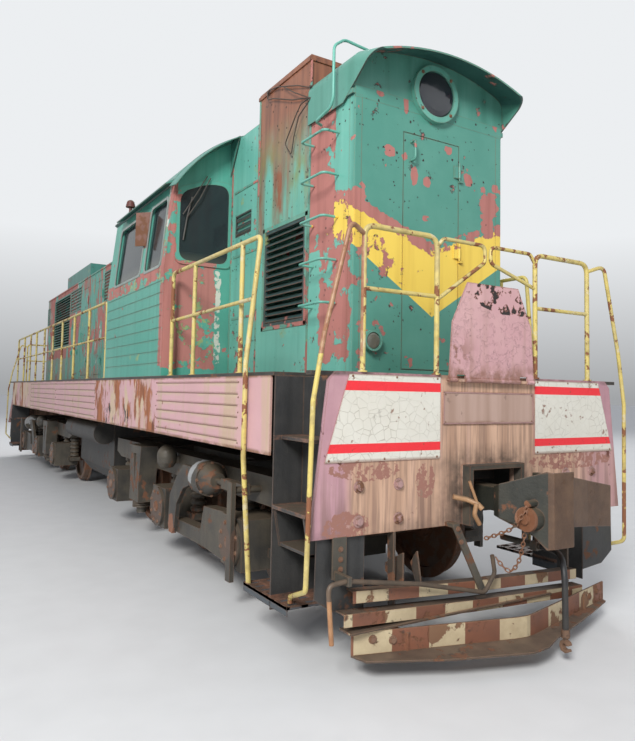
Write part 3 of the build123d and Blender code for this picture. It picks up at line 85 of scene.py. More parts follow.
def put(tree, kind, inputs=None, **settings):
    """Add a shader node, set its properties, and fill or link its inputs by name or number."""
    node = tree.nodes.new("ShaderNode" + kind)
    for key, value in settings.items():
        setattr(node, key, value)
    for key, value in (inputs or {}).items():
        if isinstance(value, bpy.types.NodeSocket):
            tree.links.new(value, node.inputs[key])
        else:
            node.inputs[key].default_value = value
    return node


def math_node(tree, operation, *values):
    """One Math node; returns its output."""
    return put(tree, "Math", dict(enumerate(values)), operation=operation).outputs[0]


def larger(tree, first, second):
    """The larger of two values, or where either of two masks is."""
    return math_node(tree, "MAXIMUM", first, second)


def more_than(tree, value, limit):
    """1 where the value is over a limit."""
    return math_node(tree, "GREATER_THAN", value, limit)


def less_than(tree, value, limit):
    """1 where the value is under a limit."""
    return math_node(tree, "LESS_THAN", value, limit)


def rest_of(tree, mask):
    """Where the mask isn't."""
    return math_node(tree, "SUBTRACT", 1.0, mask)


def ramp(tree, value, low, high, start=0.0, end=1.0):
    """Value carried from low..high to start..end, and held beyond."""
    return put(tree, "MapRange", {0: value, 1: low, 2: high, 3: start, 4: end}).outputs[0]


def between(tree, value, low, high):
    """1 where the value lies between two limits."""
    return math_node(tree, "MULTIPLY", more_than(tree, value, low), less_than(tree, value, high))


def lay(tree, mask, under, over):
    """Colour over laid on colour under where the mask is 1."""
    return put(tree, "Mix", {0: mask, 6: under, 7: over}, data_type="RGBA").outputs[2]


def part_of(tree, mask, share):
    """Mask weakened to a share of itself, or cut by another mask."""
    return math_node(tree, "MULTIPLY", mask, share)


def tinted(tree, base, mask, share, over):
    """Base colour with another laid on a share of the mask."""
    return lay(tree, part_of(tree, mask, share), base, over)


def colour(red, green, blue):
    """Linear colour with full alpha."""
    return (red, green, blue, 1.0)


def new_group(name, inputs, outputs):
    """Shader group with named inputs of one kind each, and value outputs."""
    tree = bpy.data.node_groups.new(name, "ShaderNodeTree")
    for socket, value in inputs:
        kind = "NodeSocketFloat" if isinstance(value, float) else "NodeSocketVector"
        made = tree.interface.new_socket(name=socket, in_out="INPUT", socket_type=kind)
        made.default_value = value
    for socket in outputs:
        tree.interface.new_socket(name=socket, in_out="OUTPUT", socket_type="NodeSocketFloat")
    return tree, tree.nodes.new("NodeGroupInput").outputs, tree.nodes.new("NodeGroupOutput").inputs


def use(tree, group, **values):
    """Place a group in a material, with its inputs given by name."""
    node = tree.nodes.new("ShaderNodeGroup")
    node.node_tree = group
    for key, value in values.items():
        socket = node.inputs[key.replace("_", " ")]
        if isinstance(value, bpy.types.NodeSocket):
            tree.links.new(value, socket)
        else:
            socket.default_value = value
    return node.outputs


def object_place(tree):
    """Object coordinates."""
    return put(tree, "TexCoord").outputs["Object"]


def moved_place(tree, seed):
    """Object coordinates shifted by a seed, so that like patterns differ."""
    place = object_place(tree)
    shift = put(tree, "CombineXYZ", {0: seed, 1: seed, 2: seed}).outputs[0]
    return put(tree, "VectorMath", {0: place, 1: shift}, operation="ADD").outputs[0]


# Flaked patches: broad and fine noise added, cut off at a level, with a narrow edge.
flakes, given, result = new_group("flakes",
                                  [("Scale", 6.0), ("Level", 0.55), ("Edge", 0.02), ("Seed", 0.0),
                                   ("Upright", 1.0), ("Broad", 0.45)], ["Mask", "Height"])
stretch = put(flakes, "CombineXYZ", {0: 1.0, 1: 1.0, 2: given["Upright"]}).outputs[0]
scaled = put(flakes, "VectorMath", {0: moved_place(flakes, given["Seed"]), 1: stretch},
             operation="MULTIPLY").outputs[0]
fine = put(flakes, "TexNoise",
           {"Vector": scaled, "Scale": given["Scale"], "Detail": 7.0, "Roughness": 0.62}).outputs[0]
broad_scale = math_node(flakes, "MULTIPLY", given["Scale"], 0.21)
broad = put(flakes, "TexNoise", {"Vector": scaled, "Scale": broad_scale, "Detail": 2.0}).outputs[0]
summed = put(flakes, "Mix", {0: given["Broad"], 2: fine, 3: broad}).outputs[0]
top = math_node(flakes, "ADD", given["Level"], given["Edge"])
flakes.links.new(ramp(flakes, summed, given["Level"], top), result["Mask"])
flakes.links.new(summed, result["Height"])


def flaked(tree, scale, level, edge, seed, **more):
    """Mask of flaked patches."""
    return use(tree, flakes, Scale=scale, Level=level, Edge=edge, Seed=seed, **more)["Mask"]


def new_material(name):
    """Empty node material with its Principled shader; returns material, tree and shader."""
    material = bpy.data.materials.new(name)
    material.use_nodes = True
    tree = material.node_tree
    return material, tree, tree.nodes["Principled BSDF"]


def finish_surface(tree, shader, base, height, bump, rough_mask, rough):
    """Connect colour, a two-value roughness and a bump to the shader."""
    tree.links.new(base, shader.inputs["Base Color"])
    tree.links.new(ramp(tree, rough_mask, 0.0, 1.0, *rough), shader.inputs["Roughness"])
    bumped = put(tree, "Bump", {"Strength": 1.0, "Distance": bump, "Height": height}).outputs[0]
    tree.links.new(bumped, shader.inputs["Normal"])


def hose_rubber():
    """Black rubber, grey with dust, with fine cracks across it."""
    material, tree, shader = new_material("grille_dark")
    dust = flaked(tree, 14.0, 0.45, 0.2, 3.0)
    base = lay(tree, part_of(tree, dust, 0.6), colour(0.016, 0.016, 0.017), colour(0.062, 0.056, 0.047))
    place = object_place(tree)
    cracks = put(tree, "TexNoise", {"Vector": place, "Scale": 130.0, "Detail": 4.0}).outputs[0]
    finish_surface(tree, shader, base, cracks, 0.0012, dust, (0.5, 0.85))
    return material


hose_black = hose_rubber()


def cast_rust():
    """Bare casting, brown all over with darker pits."""
    material, tree, shader = new_material("cast_rust")
    tone = flaked(tree, 11.0, 0.40, 0.25, 6.0)
    base = lay(tree, tone, colour(0.10, 0.058, 0.036), colour(0.19, 0.105, 0.062))
    pits = flaked(tree, 40.0, 0.56, 0.05, 2.0)
    base = tinted(tree, base, pits, 0.8, colour(0.045, 0.030, 0.022))
    finish_surface(tree, shader, base, pits, 0.002, tone, (0.55, 0.9))
    return material


rusty_cast = cast_rust()


def aimed(place, out):
    """Matrix that sets a part made along +Z at a place, pointing outwards."""
    return Matrix.Translation(place) @ Vector(out).to_track_quat("Z", "Y").to_matrix().to_4x4()


def finish_piece(name, bm, body, material):
    """Make the piece's object from its mesh, in its material, riding on a body."""
    mesh = bpy.data.meshes.new(name)
    bm.to_mesh(mesh)
    bm.free()
    mesh.materials.append(material)
    piece = shown_object(name, mesh)
    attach(piece, body)
    return piece


def turned_end(bm, end):
    """Turn a mesh made for the tower end half round when it belongs to the long-hood end."""
    if end == "rear":
        bmesh.ops.transform(bm, matrix=Matrix.Rotation(math.pi, 4, "Z"), verts=bm.verts)


def add_cone(bm, matrix, middle, depth, radius, far, segments):
    """Cone or cylinder along the matrix's own Z, about a middle height."""
    bmesh.ops.create_cone(bm, cap_ends=True, segments=segments, radius1=radius, radius2=far, depth=depth,
                          matrix=matrix @ Matrix.Translation((0, 0, middle)))


def add_round(bm, start, end, radius, end_radius=None, segments=20):
    """Round bar or cone between two points."""
    start = Vector(start)
    run = Vector(end) - start
    far = radius if end_radius is None else end_radius
    add_cone(bm, aimed(start, run), run.length / 2, run.length, radius, far, segments)


def ease(bm, corners, edge):
    """Bevel every edge of a plate by a little."""
    lines = list({line for corner in corners for line in corner.link_edges})
    bmesh.ops.bevel(bm, geom=lines, offset=edge, affect="EDGES", segments=2, profile=0.5, material=-1)


def add_plate(bm, outline, axis, low, high, edge=0.0):
    """Plate of a flat outline on the two other axes, from low to high along an axis; returns both rims."""
    def placed(a, b, level):
        return {"X": (level, a, b), "Y": (a, level, b), "Z": (a, b, level)}[axis]
    feet = [bm.verts.new(placed(a, b, low)) for a, b in outline]
    raised = bmesh.ops.extrude_face_region(bm, geom=[bm.faces.new(feet)])["geom"]
    tops = [part for part in raised if isinstance(part, bmesh.types.BMVert)]
    bmesh.ops.translate(bm, verts=tops, vec=Vector(placed(0, 0, high)) - Vector(placed(0, 0, low)))
    bmesh.ops.recalc_face_normals(bm,
                                  faces=list({face for corner in feet + tops for face in corner.link_faces}))
    if edge:
        ease(bm, feet + tops, edge)
    return feet, tops


hose_curve = bpy.data.curves.new("hose", "CURVE")
hose_curve.dimensions = "3D"
hose_curve.bevel_depth = hose_d / 2
hose_curve.bevel_resolution = 6
hose_curve.use_fill_caps = True
run = hose_curve.splines.new("NURBS")
run.points.add(len(hose_points) - 1)
for spot, point in zip(run.points, hose_points):
    spot.co = (*point, 1.0)
run.order_u = 3
run.use_endpoint_u = True
run.resolution_u = 16
hose = shown_object("hose", hose_curve)
hose_curve.materials.append(hose_black)
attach(hose, "root")

# The hook head on the hose's end: a ferrule, a neck and an open eye.
bm = bmesh.new()
head_x, head_y, head_z = hose_points[-1]
add_round(bm, (head_x, head_y, head_z + 0.012), (head_x, head_y, head_z - 0.044), 0.030)
add_round(bm, (head_x, head_y, head_z - 0.040), (head_x, head_y, head_z - 0.075), 0.020)
hook = ((-0.038, 0.0), (-0.030, 0.030), (0.0, 0.044), (0.030, 0.034), (0.042, 0.012), (0.020, 0.006),
        (0.010, 0.018), (-0.008, 0.018), (-0.016, 0.002), (-0.010, -0.018), (0.012, -0.022), (0.030, -0.014),
        (0.040, -0.030), (0.010, -0.044), (-0.026, -0.034))
add_plate(bm, [(head_x + a, head_z - 0.101 + b) for a, b in hook], "Y", head_y - 0.022, head_y + 0.022,
          0.004)
hose_head = finish_piece("hose_head", bm, "root", rusty_cast)

# Underframe and fuel tank: welded plate under thick oily paint, dust on the ledges, rust on the edges.
# Edge wear shows where the surface turns sharply, from the difference of the true and a rounded normal.
edges, given, result = new_group("edges", [("Width", 0.012), ("Level", 0.45)], ["Mask"])
rounded = put(edges, "Bevel", {"Radius": given["Width"]}, samples=3).outputs[0]
flat = put(edges, "NewGeometry").outputs["Normal"]
turn = put(edges, "VectorMath", {0: rounded, 1: flat}, operation="DOT_PRODUCT").outputs["Value"]
sharp = rest_of(edges, turn)
place = object_place(edges)
broken = put(edges, "TexNoise", {"Vector": place, "Scale": 23.0, "Detail": 5.0}).outputs[0]
worn = math_node(edges, "MULTIPLY", math_node(edges, "MULTIPLY", sharp, 9.0), broken)
edges.links.new(ramp(edges, worn, given["Level"], 0.9), result["Mask"])


def worn_edges(tree, base, share, bare, width=0.012):
    """Base colour with another on its sharp edges."""
    return tinted(tree, base, use(tree, edges, Width=width)["Mask"], share, bare)


# Runs: long upright noise for rain streaks and rust runs.
runs, given, result = new_group("runs", [("Scale", 14.0), ("Level", 0.5), ("Edge", 0.2), ("Seed", 0.0)],
                                ["Mask"])
squeezed = put(runs, "VectorMath", {0: moved_place(runs, given["Seed"]), 1: (1.0, 1.0, 0.06)},
               operation="MULTIPLY").outputs[0]
noise = put(runs, "TexNoise", {"Vector": squeezed, "Scale": given["Scale"], "Detail": 4.0}).outputs[0]
top = math_node(runs, "ADD", given["Level"], given["Edge"])
runs.links.new(ramp(runs, noise, given["Level"], top), result["Mask"])


def streaked(tree, scale, level, edge, seed=0.0):
    """Mask of upright runs."""
    return use(tree, runs, Scale=scale, Level=level, Edge=edge, Seed=seed)["Mask"]


bare_rust = colour(0.20, 0.075, 0.035)


def dress(material, *names):
    """Give CAD nodes a material in their own slots."""
    for name in names:
        for spot in nodes[name].material_slots:
            spot.material = material


def end_place(tree):
    """Object coordinates turned half round at the long-hood end, so both ends match, as x, y and z."""
    place = object_place(tree)
    x, y, z = put(tree, "SeparateXYZ", {0: place}).outputs
    way = math_node(tree, "SIGN", x)
    return math_node(tree, "ABSOLUTE", x), math_node(tree, "MULTIPLY", y, way), z


def grimy_material(name, dark, dust, rust_level, seed, marks=None):
    """Oily dark paint or bare casting with dust, rust patches and worn edges; marks adds special places."""
    material, tree, shader = new_material(name)
    fade = flaked(tree, 5.0, 0.38, 0.3, seed)
    base = lay(tree, fade, dark, dust)
    streaks = streaked(tree, 11.0, 0.5, 0.25, seed)
    base = tinted(tree, base, streaks, 0.45, colour(dark[0] * 0.45, dark[1] * 0.45, dark[2] * 0.45))
    up_side = put(tree, "SeparateXYZ", {0: put(tree, "NewGeometry").outputs["Normal"]}).outputs[2]
    base = lay(tree, ramp(tree, up_side, 0.3, 0.9, 0.0, 0.7), base, colour(0.115, 0.085, 0.055))
    rust = flaked(tree, 9.0, rust_level, 0.04, seed + 2.0)
    base = lay(tree, rust, base, colour(0.15, 0.066, 0.034))
    if marks:
        base = marks(tree, base)
    base = worn_edges(tree, base, 0.55, colour(0.20, 0.105, 0.06), 0.014)
    grain = put(tree, "TexNoise", {"Vector": object_place(tree), "Scale": 60.0, "Detail": 5.0}).outputs[0]
    height = math_node(tree, "ADD", part_of(tree, grain, 0.6), fade)
    finish_surface(tree, shader, base, height, 0.003, rust, (0.5, 0.9))
    return material


dress(grimy_material("frame_dark", colour(0.022, 0.021, 0.020), colour(0.050, 0.046, 0.039), 0.60, 1.0),
      "underframe", "fuel_tank")

# Bogies: cast side frames, boxes and motors, brown with oil and brake dust. The brake cylinders keep
# some of their silver paint, and the eyes of the guide arms are bright with rust.
def shaken(tree, place, amount, noise):
    """Place moved about by a noise."""
    wobble = put(tree, "TexNoise", noise).outputs[1]
    centred = put(tree, "VectorMath", {0: wobble, 1: (0.5, 0.5, 0.5)}, operation="SUBTRACT").outputs[0]
    shift = put(tree, "VectorMath", {0: centred, "Scale": amount}, operation="SCALE").outputs[0]
    return put(tree, "VectorMath", {0: place, 1: shift}, operation="ADD").outputs[0]


# Blots: one ragged round patch about a centre.
blot, given, result = new_group("blot",
                                [("Place", (0.0, 0.0, 0.0)), ("Centre", (0.0, 0.0, 0.0)),
                                 ("Size", (0.1, 0.1, 0.1)), ("Ragged", 0.5)], ["Mask"])
away = put(blot, "VectorMath", {0: given["Place"], 1: given["Centre"]}, operation="SUBTRACT").outputs[0]
scaled = put(blot, "VectorMath", {0: away, 1: given["Size"]}, operation="DIVIDE").outputs[0]
total = shaken(blot, scaled, given["Ragged"],
               {"Vector": given["Place"], "Scale": 13.0, "Detail": 5.0, "Roughness": 0.6})
reach = put(blot, "VectorMath", {0: total}, operation="LENGTH").outputs["Value"]
blot.links.new(less_than(blot, reach, 1.0), result["Mask"])


def blotted(tree, place, centre, size, ragged):
    """Mask of one blot."""
    return use(tree, blot, Place=place, Centre=centre, Size=size, Ragged=ragged)["Mask"]


def bogie_marks(tree, base):
    """Silver left on the brake cylinders, rust round the arm eyes and on the covers."""
    folded = put(tree, "VectorMath", {0: object_place(tree)}, operation="ABSOLUTE").outputs[0]
    silver = blotted(tree, folded, (5.545, 1.38, 1.07), (0.07, 0.16, 0.12), 1.5)
    base = tinted(tree, base, silver, 0.8, colour(0.36, 0.37, 0.37))
    eye = blotted(tree, folded, (4.80, 1.40, 0.44), (0.075, 0.12, 0.13), 1.2)
    base = tinted(tree, base, eye, 0.9, colour(0.25, 0.10, 0.05))
    for cover_x in (2.33, 4.33, 6.33):
        cover = blotted(tree, folded, (cover_x, 1.42, 0.553), (0.205, 0.05, 0.205), 0.1)
        base = tinted(tree, base, cover, 0.7, colour(0.105, 0.062, 0.043))
    return base


casting = grimy_material("casting_dark", colour(0.040, 0.037, 0.032), colour(0.105, 0.088, 0.062), 0.58, 4.0,
                         bogie_marks)
bogie_parts = ("bogie_frame", "axle_boxes", "traction_motors")
dress(casting, *[name for name in nodes if name.startswith(bogie_parts)])

rusty_steel = grimy_material("rusty_steel", colour(0.16, 0.085, 0.055), colour(0.24, 0.14, 0.09), 0.52, 17.0)


def add_bolt(bm, place, out, radius, height):
    """Hexagon head on a round washer."""
    base = aimed(place, out)
    add_cone(bm, base, 0.13 * height, 0.3 * height, 1.45 * radius, 1.35 * radius, 12)
    add_cone(bm, base, 0.5 * height, height, radius, 0.9 * radius, 6)


def add_bolt_circle(bm, centre, out, circle, count, first, radius, height):
    """Bolts evenly round a circle that faces out along X or Y; the first stands at an angle in degrees."""
    for number in range(count):
        angle = math.radians(first + 360 / count * number)
        x, y, z = centre
        beside = circle * math.cos(angle)
        rise = circle * math.sin(angle)
        place = (x, y + beside, z + rise) if out[0] else (x + beside, y, z + rise)
        add_bolt(bm, place, out, radius, height)


def add_rivet(bm, place, out, radius):
    """Low domed rivet head."""
    add_cone(bm, aimed(place, out), 0.28 * radius, 0.6 * radius, radius, 0.55 * radius, 8)


def add_bar(bm, low, high, edge):
    """Bar between two corners with eased edges."""
    size = Vector(high) - Vector(low)
    middle = (Vector(high) + Vector(low)) / 2
    made = bmesh.ops.create_cube(bm, size=1.0,
                                 matrix=Matrix.Translation(middle) @ Matrix.Diagonal((*size, 1.0)))
    ease(bm, made["verts"], edge)


def add_turned(bm, outline, matrix, steps):
    """Body turned about the matrix's own Z from a half section of radius and height, closed at its ends."""
    known = set(bm.verts)
    corners = [bm.verts.new((radius, 0.0, height)) for radius, height in outline]
    lines = [bm.edges.new(pair) for pair in zip(corners, corners[1:])]
    bmesh.ops.spin(bm, geom=corners + lines, cent=(0, 0, 0), axis=(0, 0, 1), angle=2 * math.pi, steps=steps,
                   use_merge=True)
    bmesh.ops.remove_doubles(bm, verts=[spot for spot in bm.verts if spot not in known], dist=1e-5)
    made = [spot for spot in bm.verts if spot not in known]
    bmesh.ops.transform(bm, matrix=matrix, verts=made)
    bmesh.ops.recalc_face_normals(bm, faces=list({face for spot in made for face in spot.link_faces}))


bogie_x = 4.33
can_outline = ((0.0, -0.020), (0.070, 0.0), (0.105, 0.050), (0.112, 0.120), (0.108, 0.160), (0.095, 0.190),
               (0.075, 0.220), (0.045, 0.241), (0.0, 0.250))
can_y = 1.165                # outer face of the side frame
can_foot = 0.983
axle_gap = 2.0
axle_z = 0.553
cover_face = 1.405           # outer face of the axle box covers
cover_circle = 0.168         # radius on which the cover's bolts stand
cap_r = 0.062
# The brake cylinder's flange: how far from the bogie's middle and the centreline, and above the axle.
drum_x = 1.375
drum_y = 1.310
drum_rise = 0.455
drum_circle = 0.152
for body, middle in (("bogie_front", bogie_x), ("bogie_rear", -bogie_x)):
    bm = bmesh.new()
    for side in (-1, 1):
        for place in (-1, 0, 1):
            cover = (middle + place * axle_gap, side * cover_face, axle_z)
            add_bolt_circle(bm, cover, (0, side, 0), cover_circle, 8, 22.5, 0.015, 0.014)
            add_cone(bm, aimed(cover, (0, side, 0)), 0.007, 0.016, cap_r, 0.05, 24)
        # Flange bolts round the brake cylinder, between its drum and its cone.
        outer = 1.0 if body == "bogie_front" else -1.0
        drum = (middle + outer * drum_x, side * drum_y, axle_z + drum_rise)
        add_bolt_circle(bm, drum, (outer, 0, 0), drum_circle, 8, 0, 0.012, 0.013)
    finish_piece(body + "_bolts", bm, body, rusty_steel)
    # Domed air can over each middle axle box, held by a saddle on the side frame.
    bm = bmesh.new()
    for side in (-1, 1):
        can = (middle, side * (can_y + 0.130), can_foot)
        add_turned(bm, can_outline, Matrix.Translation(can), 32)
        add_plate(bm, [(middle - 0.06, side * can_y), (middle + 0.06, side * can_y), (middle + 0.06, can[1]),
                       (middle - 0.06, can[1])], "Z", can_foot + 0.040, can_foot + 0.120, 0.004)
    finish_piece(body + "_air_cans", bm, body, casting)

# Wheelsets: wheels of rolled steel pressed on their axles, which turn in the axle boxes. They are rust
# brown all over after years of standing.
dress(grimy_material("wheel_rusty", colour(0.085, 0.052, 0.036), colour(0.16, 0.095, 0.06), 0.50, 15.0),
      *[name for name in nodes if name.startswith("wheelset")])


# Couplers: dark green-grey castings. Contact face and guard arm are bare brown, and the lock boss and
# the hanging chains are orange with fresh rust.
def coupler_marks(tree, base):
    """Brown face and arm, rusty boss and chains."""
    x, y, z = end_place(tree)
    tone = flaked(tree, 12.0, 0.42, 0.25, 2.0)
    brown = lay(tree, tone, colour(0.080, 0.043, 0.024), colour(0.135, 0.076, 0.042))
    face = more_than(tree, x, 8.572)
    arm = more_than(tree, y, 0.245)
    base = lay(tree, larger(tree, face, arm), base, brown)
    place = put(tree, "CombineXYZ", {0: x, 1: y, 2: z}).outputs[0]
    boss = blotted(tree, place, (8.47, -0.13, 1.003), (0.092, 0.06, 0.092), 0.1)
    ahead = larger(tree, math_node(tree, "SUBTRACT", x, 8.375), 0.0)
    below = math_node(tree, "ADD", z, math_node(tree, "MULTIPLY", ahead, 0.81))
    hanging = part_of(tree, less_than(tree, below, 0.955), less_than(tree, x, 8.46))
    eye = blotted(tree, place, (8.475, -0.15, 1.09), (0.05, 0.045, 0.05), 0.2)
    fresh = larger(tree, boss, larger(tree, hanging, eye))
    orange = lay(tree, tone, colour(0.19, 0.078, 0.038), colour(0.27, 0.13, 0.07))
    return lay(tree, part_of(tree, fresh, 0.95), base, orange)


coupler_cast = grimy_material("coupler_cast", colour(0.020, 0.021, 0.016), colour(0.048, 0.044, 0.030), 0.56,
                              12.0, coupler_marks)
coupler_z = 1.088
coupler_face = 8.610
neck_x = coupler_face - 0.450        # where the head leaves the shank
tooth_w = 0.200
head_plan = ((neck_x, -0.080), (neck_x + 0.050, -0.170), (coupler_face - 0.330, -0.195),
             (coupler_face - 0.220, -0.135), (coupler_face - 0.120, -0.072), (coupler_face - 0.045, -0.028),
             (coupler_face - 0.003, -0.004), (coupler_face - 0.001, tooth_w),
             (coupler_face - 0.014, tooth_w + 0.014), (coupler_face - 0.045, tooth_w + 0.014),
             (coupler_face - 0.095, tooth_w + 0.014), (coupler_face - 0.120, tooth_w - 0.020),
             (coupler_face - 0.235, 0.196), (coupler_face - 0.330, 0.215), (neck_x, 0.080))
head_top = ((neck_x, 0.095), (neck_x + 0.250, 0.185), (coupler_face - 0.060, 0.240), (coupler_face, 0.240))
head_foot = ((neck_x, 0.092), (neck_x + 0.215, 0.112), (coupler_face - 0.120, 0.205),
             (coupler_face - 0.045, 0.280), (coupler_face, 0.280))
arm_plan = ((coupler_face - 0.040, 0.205), (coupler_face - 0.095, 0.470), (coupler_face - 0.108, 0.480),
            (coupler_face - 0.150, 0.820), (coupler_face - 0.190, 0.820), (coupler_face - 0.165, 0.480),
            (coupler_face - 0.330, 0.205), (coupler_face - 0.330, 0.150), (coupler_face - 0.095, 0.150))
rib_plan = ((coupler_face - 0.175, 0.200), (coupler_face - 0.172, 0.780), (coupler_face - 0.225, 0.450),
            (coupler_face - 0.325, 0.210))
arm_top = ((0.150, 0.205), (0.205, 0.205), (0.820, 0.095))
arm_foot = ((0.150, 0.150), (0.205, 0.150), (0.820, 0.215))
boss_x = coupler_face - 0.140
boss_z = coupler_z - 0.085
eye_x = coupler_face - 0.118
eye_z = coupler_z + 0.025
chain_routes = (
    ((eye_x, -0.140, eye_z - 0.020), (8.455, -0.165, 1.010), (8.400, -0.185, 0.930), (8.280, -0.205, 0.870),
     (8.170, -0.222, 0.823)),
    ((eye_x, -0.140, eye_z - 0.020), (8.470, -0.130, 1.000), (8.405, -0.085, 0.790), (8.335, -0.070, 0.640),
     (8.262, -0.090, 0.585), (8.215, -0.150, 0.690)))
link_len = 0.052
link_w = 0.034
link_wire = 0.009
link_pitch = link_len - 2 * link_wire


def level_at(value, steps):
    """Height between listed pairs of place and height."""
    for (near, low), (far, high) in zip(steps, steps[1:]):
        if value <= far:
            return low + (high - low) * max(0.0, value - near) / (far - near)
    return steps[-1][1]


def smooth_run(points):
    """Points along a smooth route, read from its spline."""
    guide = bpy.data.curves.new("guide", "CURVE")
    guide.dimensions = "3D"
    line = guide.splines.new("NURBS")
    line.points.add(len(points) - 1)
    for spot, point in zip(line.points, points):
        spot.co = (*point, 1.0)
    line.order_u = 3
    line.use_endpoint_u = True
    line.resolution_u = 16
    holder = bpy.data.objects.new("guide", guide)
    mesh = bpy.data.meshes.new_from_object(holder)
    run = [corner.co.copy() for corner in mesh.vertices]
    bpy.data.meshes.remove(mesh)
    bpy.data.objects.remove(holder)
    bpy.data.curves.remove(guide)
    return run


def add_chain(bm, route):
    """Links along a smooth route, each a quarter turn from the last."""
    number = 0
    travelled = 0.0
    run = smooth_run(route)
    for start, end in zip(run, run[1:]):
        step = end - start
        while travelled + step.length > (number + 0.5) * link_pitch:
            middle = start + step * (((number + 0.5) * link_pitch - travelled) / step.length)
            ahead = step.normalized()
            across = ahead.cross(Vector((1, -1, 0))).normalized()
            flat = across if number % 2 else across.cross(ahead)
            beside = flat.cross(ahead)
            turn = Matrix((ahead * (link_len / link_w), beside, flat)).transposed().to_4x4()
            known = set(bm.verts)
            ring = bmesh.ops.create_circle(bm, segments=6, radius=link_wire / 2,
                                           matrix=Matrix.Translation(((link_w - link_wire) / 2, 0, 0))
                                           @ Matrix.Rotation(math.pi / 2, 4, "X"))["verts"]
            lines = list({line for corner in ring for line in corner.link_edges})
            bmesh.ops.spin(bm, geom=ring + lines, cent=(0, 0, 0), axis=(0, 0, 1), angle=2 * math.pi,
                           steps=10, use_merge=True)
            made = [spot for spot in bm.verts if spot not in known]
            bmesh.ops.transform(bm, matrix=Matrix.Translation(middle) @ turn, verts=made)
            bmesh.ops.recalc_face_normals(bm,
                                          faces=list({face for spot in made for face in spot.link_faces}))
            number += 1
        travelled += step.length


for end in ("front", "rear"):
    bm = bmesh.new()
    add_bar(bm, (7.450, -0.065, coupler_z - 0.090), (neck_x + 0.050, 0.065, coupler_z + 0.090), 0.012)
    for plan, top, foot, place in ((head_plan, head_top, head_foot, 0), (arm_plan, arm_top, arm_foot, 1)):
        feet, tops = add_plate(bm, plan, "Z", coupler_z - 0.1, coupler_z + 0.1)
        for corner in tops:
            corner.co.z = coupler_z + level_at(corner.co[place], top)
        for corner in feet:
            corner.co.z = coupler_z - level_at(corner.co[place], foot)
        ease(bm, feet + tops, 0.006)
    # Lock boss with its pip, the chain's eye, and ribs along the guard arm.
    add_round(bm, (boss_x, -0.040, boss_z), (boss_x, -0.132, boss_z), 0.085, segments=32)
    add_round(bm, (boss_x, -0.130, boss_z), (boss_x, -0.150, boss_z), 0.038, 0.034)
    add_round(bm, (eye_x, -0.060, eye_z), (eye_x, -0.145, eye_z), 0.024)
    for rise in (0.080, -0.080):
        add_plate(bm, rib_plan, "Z", coupler_z + rise - 0.011, coupler_z + rise + 0.011, 0.003)
    for route in chain_routes:
        add_chain(bm, route)
    turned_end(bm, end)
    coupler = finish_piece("coupler_casting_" + end, bm, "coupler_" + end, coupler_cast)
    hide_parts("coupler_" + end)


